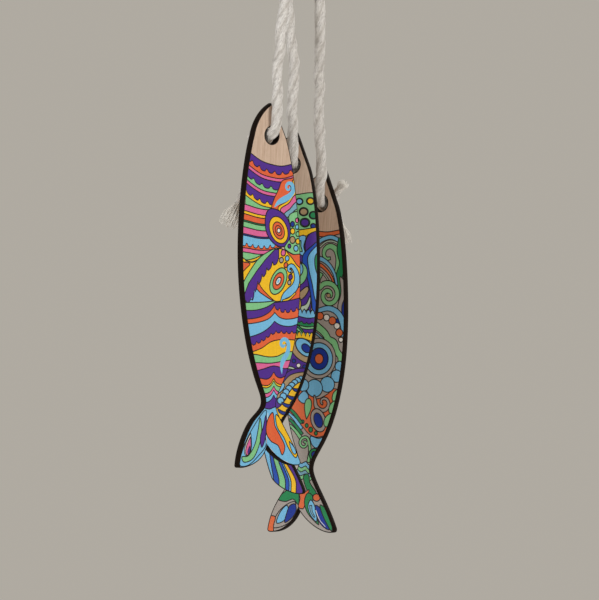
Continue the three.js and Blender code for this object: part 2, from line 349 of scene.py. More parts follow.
def steel_material():
    """Dark powder-coated steel: a fine orange-peel skin, dulled in patches."""
    k = Surface("dark powder coat")
    at = k.place()
    dull = k.noise(at, 90, 4)
    colour = k.ramp(dull, (0.30, (0.020, 0.018, 0.017)), (0.72, (0.050, 0.046, 0.043)))
    return k.made({"Base Color": colour, "Roughness": k.ramp(dull, (0.3, 0.34), (0.7, 0.52)),
                   "Normal": k.bump(k.noise(at, 2600, 2, 0.5), 0.35, 0.00008), "Metallic": 0.35})


def zinc_material():
    """Zinc-plated steel with fine turning marks and a dull bloom."""
    k = Surface("zinc plate")
    at = k.place()
    turning = k.streaks(at, (900, 5200, 900), 3)
    bloom = k.noise(at, 420, 4)
    colour = k.ramp(bloom, (0.3, (0.42, 0.41, 0.38)), (0.7, (0.64, 0.63, 0.60)))
    return k.made({"Base Color": colour, "Roughness": k.ramp(bloom, (0.3, 0.28), (0.7, 0.46)),
                   "Normal": k.bump(turning, 0.25, 0.00004), "Metallic": 1.0})


COTTON = cotton_material("cotton rope", (0.42, 0.40, 0.38), (0.74, 0.72, 0.70),
                         (0.90, 0.885, 0.865), 0.0005)
# the loose fibres: a lighter copy of the rope's cotton, partly the paler look of combed-out fibres
# and partly painted light against the shade that falls among the thin fibres
FRAY = cotton_material("cotton fibres", (0.72, 0.69, 0.64), (0.88, 0.86, 0.82), (0.95, 0.94, 0.91),
                       0.00001)
PAINTED = paint_material()
RIM = rim_material()
BACK = back_material()
STEEL = steel_material()
ZINC = zinc_material()

# the paints, as they reflect light
COLOURS = {
    "orange": (0.80, 0.135, 0.045), "pink": (0.76, 0.145, 0.36), "leaf": (0.235, 0.60, 0.275),
    "yellow": (0.94, 0.56, 0.018), "purple": (0.085, 0.026, 0.30), "sky": (0.19, 0.53, 0.83),
    "navy": (0.008, 0.036, 0.32), "forest": (0.014, 0.25, 0.085), "grey": (0.40, 0.36, 0.335),
    "tan": (0.44, 0.31, 0.17), "rust": (0.76, 0.155, 0.05), "white": (0.86, 0.84, 0.80),
    "ink": (0.014, 0.011, 0.012), "char": (0.009, 0.004, 0.0025), "sea": (0.20, 0.42, 0.56),
    "ochre": (0.66, 0.42, 0.03), "royal": (0.014, 0.085, 0.50), "pale": (0.50, 0.62, 0.50),
}

# ---------------------------------------------------------------- mesh helpers

def mesh_object(name, verts, faces, materials, slots=None, smooth=None):
    """An object in metres from points in mm. slots and smooth have a value for each face, which
    is the first material and True unless they are given."""
    me = bpy.data.meshes.new(name)
    me.from_pydata([tuple(MM * c for c in v) for v in verts], [], faces)
    for m in materials:
        me.materials.append(m)
    if slots:
        me.polygons.foreach_set("material_index", slots)
    me.polygons.foreach_set("use_smooth", smooth or [True] * len(faces))
    me.update()
    ob = bpy.data.objects.new(name, me)
    bpy.context.scene.collection.objects.link(ob)
    return ob


def tube(rows, around, base=0):
    """Quads that join each ring of points to the next one. base is the first point's number."""
    faces = []
    for start in range(base, base + (rows - 1) * around, around):
        for i in range(around):
            j = (i + 1) % around
            faces.append((start + i, start + j, start + around + j, start + around + i))
    return faces


def closed_tube(rows, around, base=0):
    """The same with its first and last rings filled."""
    last = base + (rows - 1) * around
    ends = [tuple(range(base, base + around))[::-1], tuple(range(last, last + around))]
    return tube(rows, around, base) + ends


def signed_area(points):
    """A closed outline's area, above 0 if it runs anticlockwise."""
    return 0.5 * sum(a[0] * b[1] - b[0] * a[1]
                     for a, b in zip(points, points[1:] + points[:1]))


def grown(points, distance):
    """A closed outline moved outward by a distance, or inward if it is negative."""
    n = len(points)
    sign = 1 if signed_area(points) > 0 else -1
    out = []
    for i in range(n):
        a, b, c = points[i - 1], points[i], points[(i + 1) % n]
        d1 = Vector((b[0] - a[0], b[1] - a[1])).normalized()
        d2 = Vector((c[0] - b[0], c[1] - b[1])).normalized()
        n1, n2 = Vector((d1.y, -d1.x)), Vector((d2.y, -d2.x))
        mid = n1 + n2
        if mid.length < 1e-6:
            mid = n1.copy()
        mid.normalize()
        reach = min(1 / max(mid.dot(n1), 0.45), 1.6)
        out.append((b[0] + sign * distance * reach * mid.x, b[1] + sign * distance * reach * mid.y))
    return out


class Pen:
    """Draws an outline from curves, with points about every 1.3 mm."""

    def __init__(self, x, y):
        self.points = [(x, y)]

    def curve(self, b, c, d):
        """A cubic curve on to d."""
        a = self.points[-1]
        length = math.dist(a, b) + math.dist(b, c) + math.dist(c, d)
        n = max(4, round(length / 1.3))
        for i in range(1, n + 1):
            t = i / n
            s = 1 - t
            self.points.append(tuple(s**3 * a[k] + 3 * s * s * t * b[k] + 3 * s * t * t * c[k]
                                     + t**3 * d[k] for k in (0, 1)))

    def bend(self, b, c):
        """A rounded corner, a quadratic curve on to c."""
        a = self.points[-1]
        for i in range(1, 7):
            t = i / 6
            s = 1 - t
            self.points.append(tuple(s * s * a[k] + 2 * s * t * b[k] + t * t * c[k]
                                     for k in (0, 1)))


def fish_outline(tail):
    """A board's outline from the top of its head, down its right side and up its left one."""
    pen = Pen(1.2, 18.6)
    pen.curve((3.4, 14.2), (6.9, 6.2), (9.8, 0))
    pen.curve((15.6, -12.5), (20.9, -50), (20.9, -80))
    pen.curve((20.9, -104), (16.5, -126), (8.5, -140.5))
    pen.curve((5.6, -146.2), (3, -149.5), (3, -154))
    # the tail's right lobe, its notch and its left lobe, if it has one
    if tail == "long":
        pen.curve((3, -160), (13.5, -171.5), (20.8, -187.4))
        pen.bend((21.8, -190.4), (18.2, -190.3))
        pen.curve((11, -190.4), (1.5, -184.5), (-3.2, -178))
        pen.curve((-5.5, -185.5), (-12, -192.4), (-20.5, -193))
        pen.bend((-23.8, -193.3), (-23.1, -190.6))
        pen.curve((-21, -172.5), (-5.6, -160.5), (-4.7, -152))
    elif tail == "broad":
        pen.curve((3, -160), (13.5, -171), (20.6, -186))
        pen.bend((21.6, -188.9), (18, -188.8))
        pen.curve((11, -189), (1.5, -183.5), (-3.6, -177))
        pen.curve((-5, -184), (-12.5, -188.7), (-21.3, -189.5))
        pen.bend((-24.3, -189.8), (-23.7, -187.4))
        pen.curve((-22.8, -179), (-17.5, -166.5), (-11.5, -161))
        pen.curve((-8, -157.7), (-4.7, -155.7), (-4.7, -152))
    else:
        pen.curve((3, -160), (13.5, -171), (20.6, -186))
        pen.bend((21.6, -188.9), (18, -188.8))
        pen.curve((11, -189), (1.5, -183.5), (0.6, -180))
        pen.curve((-1, -177), (-3.2, -171), (-4.8, -166))
        pen.curve((-6.4, -161), (-4.7, -157), (-4.7, -152))
    # up the left side
    if tail == "single":
        pen.curve((-4.7, -149), (-4.9, -145), (-5.6, -140.6))
        pen.curve((-12, -122.5), (-19.5, -95), (-20.5, -66))
        pen.curve((-20.7, -40), (-17.3, -13), (-12.9, 0.3))
    else:
        pen.curve((-4.7, -149), (-6.2, -146), (-8.6, -140.6))
        pen.curve((-16, -122.5), (-21.5, -95), (-21.5, -66))
        pen.curve((-21.5, -40), (-17.3, -13), (-12.9, 0.3))
    pen.curve((-11.2, 8.5), (-5.5, 15.6), (1.2, 18.6))
    return pen.points[:-1]


def ring(radius, n, x=0.0, y=0.0):
    """n points evenly round a circle."""
    return [(x + radius * math.cos(2 * math.pi * i / n), y + radius * math.sin(2 * math.pi * i / n))
            for i in range(n)]


def partition(outlines):
    """Cuts the plane along every outline. Returns points, triangles, and for each triangle the
    set of outlines that it lies in."""
    points, faces = [], []
    for outline in outlines:
        if signed_area(outline) < 0:
            outline = outline[::-1]
        faces.append(list(range(len(points), len(points) + len(outline))))
        points.extend(Vector(p) for p in outline)
    out = delaunay_2d_cdt(points, [], faces, 1, 1e-5, True)
    return out[0], out[2], [set(s) for s in out[5]]


def slab(name, outline, holes, thickness, edge, place, face_outlines, paint_of, materials):
    """A flat board with eased edges. Its face is cut along face_outlines, and paint_of(the set of
    those that a piece of it lies in) gives that piece's colour and whether it is bare wood.
    materials are the face's, the edge's and the back's."""
    verts, faces, slots, uvs, paints, bares = [], [], [], [], [], []

    def add(corners, slot, uv, colour, bare):
        faces.append(corners)
        slots.append(slot)
        uvs.extend(x for at in uv for x in at)
        paints.extend((*colour, 1.0) * len(corners))
        bares.extend([bare] * len(corners))

    half = thickness / 2
    profile = [(edge, half), (0.35 * edge, half - 0.15 * edge), (0, half - 0.6 * edge),
               (0, -half + 0.6 * edge), (0.35 * edge, -half + 0.15 * edge), (edge, -half)]
    for line, sign in [(outline, -1)] + [(h, 1) for h in holes]:
        around = [0.0]
        for a, b in zip(line, line[1:] + line[:1]):
            around.append(around[-1] + math.dist(a, b))
        base, n = len(verts), len(line)
        for inset, w in profile:
            verts.extend((x, y, w) for x, y in grown(line, sign * inset))
        way = 1 if (signed_area(line) > 0) == (sign < 0) else -1
        for r, ((_, high), (_, low)) in enumerate(zip(profile, profile[1:])):
            for i in range(n):
                j = (i + 1) % n
                quad = [base + r * n + i, base + (r + 1) * n + i,
                        base + (r + 1) * n + j, base + r * n + j]
                uv = [(around[i], high), (around[i], low), (around[i + 1], low),
                      (around[i + 1], high)]
                add(quad[::way], 1, uv[::way], COLOURS["char"], 0.0)
    face_line = grown(outline, -edge)
    face_holes = [grown(h, edge) for h in holes]
    skip = 1 + len(holes)
    for side, lines in ((1, face_outlines), (-1, [])):
        points, triangles, inside = partition([face_line] + face_holes + lines)
        base = len(verts)
        verts.extend((p.x, p.y, side * half) for p in points)
        for t, within in zip(triangles, inside):
            if 0 not in within or any(h in within for h in range(1, skip)):
                continue
            up = signed_area([tuple(points[i]) for i in t]) > 0
            t = list(t)[::1 if up == (side > 0) else -1]
            add([base + i for i in t], 0 if side > 0 else 2, [points[i] for i in t],
                *paint_of({i - skip for i in within if i >= skip}))
    used = sorted({i for face in faces for i in face})
    renamed = {old: new for new, old in enumerate(used)}
    faces = [[renamed[i] for i in face] for face in faces]
    ob = mesh_object(name, [place @ Vector(verts[i]) for i in used], faces, materials, slots,
                     [slot == 1 for slot in slots])
    ob.data.uv_layers.new(name="board").data.foreach_set("uv", uvs)
    paint = ob.data.attributes.new("paint", "FLOAT_COLOR", "CORNER")
    paint.data.foreach_set("color", paints)
    bare = ob.data.attributes.new("bare", "FLOAT", "CORNER")
    bare.data.foreach_set("value", bares)
    return ob


# ---------------------------------------------------------------- painted motifs

HEAVIER = 0.27  # how much further every ink line runs out under its shape


class Sketch:
    """Motifs laid over one another on a board, each closed shape with an ink line round it.

    Places and sizes are in mm on the board, from the middle of its eye: x to the right, y up."""

    def __init__(self):
        self.outlines = []
        self.colours = []

    def lay(self, outline, colour):
        if colour == "ink":
            outline = grown(outline, HEAVIER)
        self.outlines.append([(float(x), float(y)) for x, y in outline])
        self.colours.append(colour)

    def inked(self, line, colour, ink):
        """A closed shape under an ink line that is ink wide, half inside it and half outside."""
        if ink:
            self.lay(grown(line, ink / 2), "ink")
            line = grown(line, -ink / 2)
        self.lay(line, colour)

    def shape(self, points, colour, ink=0.34, smooth=True):
        self.inked(flat(catmull(points, True, 1.1)) if smooth else list(points), colour, ink)

    def oval(self, x, y, rx, ry, colour, turn=0.0, ink=0.32, point=0.0):
        """turn leans its top to the right, in degrees; point draws its top out to a tip."""
        c, s = math.cos(math.radians(turn)), math.sin(math.radians(turn))
        n = max(16, round(2.6 * max(rx, ry) + 12))
        line = []
        for i in range(n):
            t = 2 * math.pi * i / n
            a, b = rx * math.cos(t), ry * math.sin(t)
            if b > 0 and point:
                a *= 1 - point * (b / ry) ** 2
                b *= 1 + 0.25 * point
            line.append((x + a * c + b * s, y - a * s + b * c))
        self.inked(line, colour, ink)

    def beads(self, beads, height, ink, turn=0.0):
        """Ovals from (x, y, radius, colour), each height times as high as it is wide."""
        for x, y, r, colour in beads:
            self.oval(x, y, r, r * height, colour, turn, ink)

    def drop(self, x, y, width, length, colour, turn=0.0, ink=0.3):
        """A teardrop with its tip up, leaning right by turn degrees. x, y is its middle."""
        c, s = math.cos(math.radians(turn)), math.sin(math.radians(turn))
        line = []
        for t in range(18):
            a = math.pi * (t / 18 * 2 - 0.5)
            k = (1 - math.sin(a)) / 2
            px, py = width / 2 * math.cos(a) * k**0.55 * 1.18, length / 2 * math.sin(a)
            line.append((x + px * c + py * s, y - px * s + py * c))
        self.inked(line, colour, ink)

    def stroke(self, points, colour, width, end=None, ink=0.0, belly=None):
        """A brush stroke whose width goes from width to end, or to belly and then to end."""
        line = catmull(points, False, 0.9)
        last = len(line) - 1
        end = width if end is None else end
        for grow, name in ((ink / 2, "ink"), (-ink / 2, colour)) if ink else ((0, colour),):
            left, right = [], []
            for i, p in enumerate(line):
                d = (line[min(i + 1, last)] - line[max(i - 1, 0)]).normalized()
                f = i / last
                h = (1 - f) * width + f * end
                if belly and f < 0.7:
                    h = width + (belly - width) * f / 0.7
                elif belly:
                    h = belly + (end - belly) * ((f - 0.7) / 0.3) ** 2
                h = max(h / 2 + grow, 0.06)
                p = p + d * grow * (1 if i == last else -1 if i == 0 else 0)
                left.append((p.x - d.y * h, p.y + d.x * h))
                right.append((p.x + d.y * h, p.y - d.x * h))
            self.lay(left + right[::-1], name)

    def spiral(self, x, y, radius, turns, start, width, colour, tail=(), ink=0.3, side=1, end=None,
               belly=None):
        """Winds out from its middle to radius, at the angle start, then on along tail."""
        points = []
        n = max(8, round(turns * 12))
        for i in range(n + 1):
            f = i / n
            a = math.radians(start) - side * 2 * math.pi * turns * (1 - f)
            r = radius * (0.14 + 0.86 * f)
            points.append((x + r * math.cos(a), y + r * math.sin(a)))
        self.stroke(points + list(tail), colour, width * 0.55, end or width, ink, belly)

    def down_from(self, edge, colour, depth=16.0, ink=0.34, smooth=True):
        """Fills everything below a line, to be painted over by the next one."""
        line = flat(catmull(edge, False, 1.2)) if smooth else list(edge)
        under = [(line[-1][0], line[-1][1] - depth), (line[0][0], line[0][1] - depth)]
        self.lay([(x, y + ink / 2) for x, y in line] + under, "ink")
        self.lay([(x, y - ink / 2) for x, y in line] + under, colour)

    def bands(self, line, items, squeeze=1.0, depth=16.0):
        """Stripes that follow line downwards. Each item is (thickness, colour), or (thickness,
        colour, scallop depth, how many scallops) for a hem of them under it; squeeze is how thick
        the stripes are at the right, to the left."""
        level, hem = 0.0, None
        for thickness, colour, *scallops in items:
            n = len(line) - 1
            edge = [(x, y - level * (1 + (squeeze - 1) * i / n)) for i, (x, y) in enumerate(line)]
            if hem:
                edge = scalloped(edge, *hem)
            self.down_from(edge, colour, depth, smooth=not hem)
            hem = scallops
            level += thickness


def crest(left, right):
    """Two curves that meet in a point."""
    return flat(catmull(left) + catmull(right))


def scalloped(edge, size, count):
    """A line broken into hanging loops."""
    line = even(catmull(edge), 0.3)
    n = len(line) - 1
    out = []
    for k in range(count):
        for j in range(9):
            f = (j + 0.5) / 9
            p = line[min(n, round(n * (k + f) / count))]
            drop = math.sqrt(1 - abs(2 * f - 1) ** 2.8) - 0.45
            out.append((p.x, p.y - size * drop))
    return [(line[0].x, out[0][1])] + out + [(line[-1].x, out[-1][1])]


# The front fish: bands in warm colours from the head down, a big round eye, scallops and waves.

def paint_front():
    s = Sketch()
    # bands under the bare head
    edge = [(-19, -7.5), (-15, -10.6), (-7.5, -14.8), (0, -16.8), (7, -17.6), (15, -16.2),
            (19, -15)]
    s.bands(edge, [(3.5, "purple", 3.4, 7), (4.5, "orange"), (2.2, "pink"), (3.2, "purple", 3.4, 6),
                   (4.1, "leaf"), (2.2, "pink"), (3.5, "purple", 3.4, 7), (3.8, "yellow"),
                   (2.4, "leaf")], 0.83)
    # narrower bands down the left, which rise towards the eye
    edge = [(-22.5, -38.8), (-17, -40.2), (-10, -41.9), (-3, -42.6), (7, -41.8)]
    s.bands(edge, [(3.7, "pink"), (1.9, "yellow"), (3.6, "orange"), (0.9, "forest"), (3.2, "leaf"),
                   (3.9, "pink"), (0.9, "navy"), (4.2, "sky", 3.4, 7), (3.0, "orange"),
                   (2.5, "pink"), (4.5, "leaf")], 0.88)
    s.shape([(-23, -69), (-19, -71.2), (-13, -70.5), (-7, -68.6), (-11, -73), (-16, -79),
             (-23, -84)], "yellow")
    s.shape([(-23, -72), (-20, -72.6), (-16, -73.4), (-19, -76), (-23, -79)], "orange")
    s.stroke([(-19, -71.6), (-14.5, -72.4), (-10, -71)], "ink", 0.35)
    # the curl and the curved stripes at the upper right
    s.shape([(19, -24), (13.5, -24.6), (7.5, -26), (4.8, -31), (1.5, -36.6), (0, -42), (8, -50),
             (22, -52)], "orange")
    s.shape([(20, -27), (15, -25.6), (16.6, -31), (12.2, -36.8), (4.5, -41.4), (9, -46), (22, -44)],
            "yellow")
    s.shape([(21, -33.5), (16.5, -34.2), (12.5, -38.6), (6.2, -42.4), (11, -48), (22, -48)], "pink")
    s.shape([(21, -37.4), (17, -38.4), (13, -42), (8.8, -45.2), (12, -50), (22, -50)], "sea")
    s.shape([(21, -41.4), (17, -42.6), (13.8, -45.2), (10.6, -48), (14, -52), (22, -53)], "leaf")
    s.spiral(12.2, -29.6, 3.1, 1.15, 0, 1.9, "sky", ((15.2, -31.8), (12.8, -34.4), (8.8, -36.4),
                                                     (4.8, -38.2), (1.6, -41)), 0.32, -1, 0.6, 4.0)
    # rings round the big eye
    s.oval(4.4, -52.8, 8.5, 11.6, "purple", -34, 0.42, 0.24)
    s.oval(4.8, -54.0, 5.9, 8.2, "yellow", -33, 0.36)
    s.oval(4.8, -54.3, 3.7, 5.1, "orange", -30, 0.36)
    s.oval(4.8, -54.3, 2.1, 2.9, "orange", -28, 0.3)
    s.oval(4.9, -54.3, 1.1, 1.2, "white", 0, 0.36)
    # beads to the right of the eye
    s.shape([(12.4, -46), (16, -43.8), (23, -44), (23, -66), (17.6, -68), (12, -66.2), (9.2, -64.2),
             (12.8, -58.8), (13.4, -52.4)], "leaf")
    s.beads([(14.9, -50.6, 1.35, "navy"), (18.3, -48.4, 1.2, "pink"), (18.2, -52.2, 1.15, "sky"),
             (15.0, -54.6, 1.5, "yellow"), (18.7, -56.2, 1.2, "leaf"), (14.9, -59.6, 1.8, "tan"),
             (18.8, -60.4, 1.4, "yellow"), (17.4, -64.4, 1.5, "sky"), (12.6, -63.2, 1.0, "purple")],
            1.06, 0.42)
    # the yellow ground, its dripping arc and its beads
    s.shape([(1.5, -66), (6, -64.8), (11.5, -66.6), (16, -68.6), (22, -69), (22, -94), (10, -95.2),
             (0.8, -94.8), (-5, -91.5), (-12, -87), (-11, -80), (-7, -73)], "yellow")
    s.shape([(11, -66.4), (15, -68), (22, -68.4), (22, -76), (18.4, -74), (14.6, -69.8)], "orange")
    s.shape([(3.6, -64.4), (-3.6, -67.0), (-9.4, -70.4), (-15.8, -77.4), (-21, -85.4), (-22, -93),
             (-17.6, -91.4), (-14.4, -84.4), (-8.6, -76.4), (-3, -70.8)], "leaf")
    s.beads([(8.2, -67.0, 1.5, "pink"), (11.0, -70.2, 1.3, "sky"), (6.8, -71.2, 1.3, "grey"),
             (10.0, -74.0, 1.2, "orange"), (14.2, -77.4, 1.0, "tan"), (13.4, -80.8, 1.3, "purple"),
             (12.6, -84.0, 1.1, "grey")], 1.15, 0.42, 20)
    s.oval(4.6, -83.2, 5.0, 8.3, "leaf", 33, 0.42)
    s.oval(4.6, -83.2, 3.3, 5.2, "orange", 32, 0.36)
    s.oval(4.6, -83.2, 1.4, 2.4, "white", 36, 0.5)
    s.oval(4.6, -83.2, 0.7, 1.3, "sky", 36, 0.0)
    # the wedge and the swooshes under the second eye
    s.shape([(-11.4, -81.4), (-8.2, -86.6), (-2.6, -91.6), (1.2, -94.6), (-5, -94.2),
             (-12.4, -92.4), (-14.4, -87)], "orange")
    s.shape([(-13.2, -86), (-9.6, -89.2), (-3.2, -92.8), (0.8, -94.9), (-8, -95.6), (-19, -96.4),
             (-16.4, -91.6)], "sky")
    drips = scalloped([(4.8, -69.4), (-0.6, -72.4), (-6, -77.6), (-11.2, -84.4), (-14.8, -92.6)],
                      5.4, 6)
    s.shape([(-17.4, -96), (-20.6, -92.6), (-16.8, -84.6), (-11, -77.6), (-4.4, -70.8),
             (2.2, -65.2), (4.8, -65.2)] + drips, "purple", smooth=False)
    s.shape([(22, -85.4), (17.4, -88.6), (12.2, -92), (5.6, -94.8), (0.8, -94.9), (9, -96.4),
             (22, -96)], "orange")
    s.spiral(13.4, -76.6, 2.7, 0.8, 20, 1.8, "sky", ((17.6, -78.4), (18.2, -82.4), (16.4, -86.6),
                                                     (12.6, -89.6), (8.8, -92), (6.4, -95)), 0.34,
             -1, 0.3, 4.8)
    s.stroke([(17, -90), (12.6, -93.2), (8, -94.6)], "yellow", 0.8, 1.2, 0.25)
    # waves that rise to a crest near the middle
    s.down_from([(-22, -95.6), (-12, -95.5), (-4, -95.2), (2, -94.6)], "leaf")
    s.down_from([(-22, -100), (-12, -99.9), (-4, -98.2), (2, -95.4)], "purple")
    s.down_from([(1.4, -95.6), (8, -95), (15, -94), (22, -92.6)], "purple")
    s.down_from([(-22, -105.2), (-13, -104.6), (-7, -103.4), (-1.2, -100.6), (2, -96.9)], "orange")
    s.down_from(scalloped([(1.6, -97), (8, -99.4), (15, -99), (22, -97.4)], 3.4, 5), "orange",
                smooth=False)
    s.down_from(crest([(-22, -107.8), (-14, -107.4), (-5, -105.8), (-1, -104), (2, -101.4)],
                      [(2, -101.4), (5, -103.8), (9, -105), (15, -104.8), (22, -103.2)]), "sky",
                smooth=False)
    s.down_from(crest([(-22, -116.2), (-14.8, -114.9), (-7.1, -112.6), (-2, -109.8), (1.8, -106.4)],
                      [(1.8, -106.4), (4.4, -107.8), (8, -108.9), (13.4, -109.2), (22, -107)]),
                "purple", smooth=False)
    s.down_from(scalloped([(-22, -121.4), (-13.7, -118.6), (-6.4, -116.2), (-1.2, -113.2),
                           (3.2, -111.7), (11.9, -112), (22, -111.2)], 2.5, 12), "orange",
                smooth=False)
    # leaf and hook
    s.down_from([(-22, -125.2), (-13, -123.3), (-7.1, -121.4), (-1.2, -118.2), (4, -117),
                 (12, -116.8), (22, -117.6)], "yellow")
    s.down_from([(-22, -124.6), (-11.5, -125.2), (-2.7, -126.6), (4, -126.2), (9.4, -124.2),
                 (22, -123.4)], "leaf")
    s.down_from([(-22, -129.8), (-10, -129.9), (-1.2, -130.2), (7.5, -129.2), (22, -127.4)], "pink")
    s.down_from([(-22, -136), (-12, -134.6), (-6, -133.4), (1, -131.8), (5, -132.4), (9, -133.4),
                 (14, -132.8), (22, -132)], "purple")
    s.spiral(8.4, -119.2, 3.4, 0.95, 10, 3.9, "sky", ((11.9, -121.6), (10.9, -124.8), (8.4, -128),
                                                      (6.9, -131.8), (7.2, -136.6)), 0.36, -1, 0.4,
             3.6)
    # brackets down to the waist
    bracket = crest([(-16, -137.6), (-8, -138.8), (-3.6, -139.3), (-0.8, -138), (1.2, -135.4)],
                    [(1.2, -135.4), (3.2, -137.8), (6.2, -138.7), (10, -137.6), (16, -136.8)])
    for drop, colour in ((0, "orange"), (3.7, "yellow"), (5.0, "leaf"), (8.1, "pink"),
                         (10.4, "sky"), (13.2, "purple")):
        s.down_from([(x, y - drop) for x, y in bracket], colour, 26, smooth=False)
    # tail: a pale blue ground with long leaves
    s.down_from([(-8, -155), (-2, -156.4), (2.4, -155.2), (8, -155.6)], "sky", 70)
    s.lay([(-30, -158), (30, -158), (30, -200), (-30, -200)], "sky")
    s.shape([(-4.4, -157), (-12, -164.6), (-20, -177), (-23, -188), (-17.4, -188), (-9.6, -182.4),
             (-4.6, -176.8), (-5.6, -168)], "sky", 0.3)
    s.shape([(-8.6, -161.6), (-10, -168.4), (-12.6, -177), (-17.6, -183), (-21.6, -183.4),
             (-20.6, -186), (-14.4, -184.6), (-9.8, -177.6), (-7.6, -168.6)], "leaf")
    s.drop(-16.9, -176.4, 5.0, 13, "white", 13)
    s.drop(-16.8, -177.2, 3.6, 10.4, "pink", 13)
    s.drop(-16.6, -179.4, 1.3, 4.4, "purple", 13, 0.15)
    s.shape([(-4.4, -160), (-6.2, -166.4), (-8.4, -172.6), (-7.4, -177.8), (-5.2, -173.4),
             (-4.2, -166.8)], "purple", 0.32)
    s.stroke([(-3, -158.6), (-3.6, -166), (-4, -175.6)], "white", 0.35, 0.2)
    s.shape([(0.4, -158.4), (-3.0, -162.4), (-4.0, -169.6), (-0.8, -174.4), (4.6, -177.2),
             (7.4, -182.4), (9.2, -178.2), (5.6, -171.4), (2.0, -165.8)], "orange")
    s.stroke([(-1.4, -164), (-0.8, -170), (3, -174), (6.6, -178.6)], "rust", 0.9, 0.3)
    s.shape([(3.0, -159.6), (3.8, -166.4), (8.6, -172.4), (12.2, -178.8), (17.4, -184.2),
             (18.6, -178.6), (14.6, -171.4), (8.6, -165.2)], "yellow")
    s.drop(14.8, -178.6, 2.6, 8.4, "sky", -32, 0.25)
    s.stroke([(-1.8, -178.4), (5, -184.2), (12, -187)], "white", 0.5, 0.2)
    return s


# The middle fish: beads on green, blue ribbons, crowns and crescents, a long striped tail.

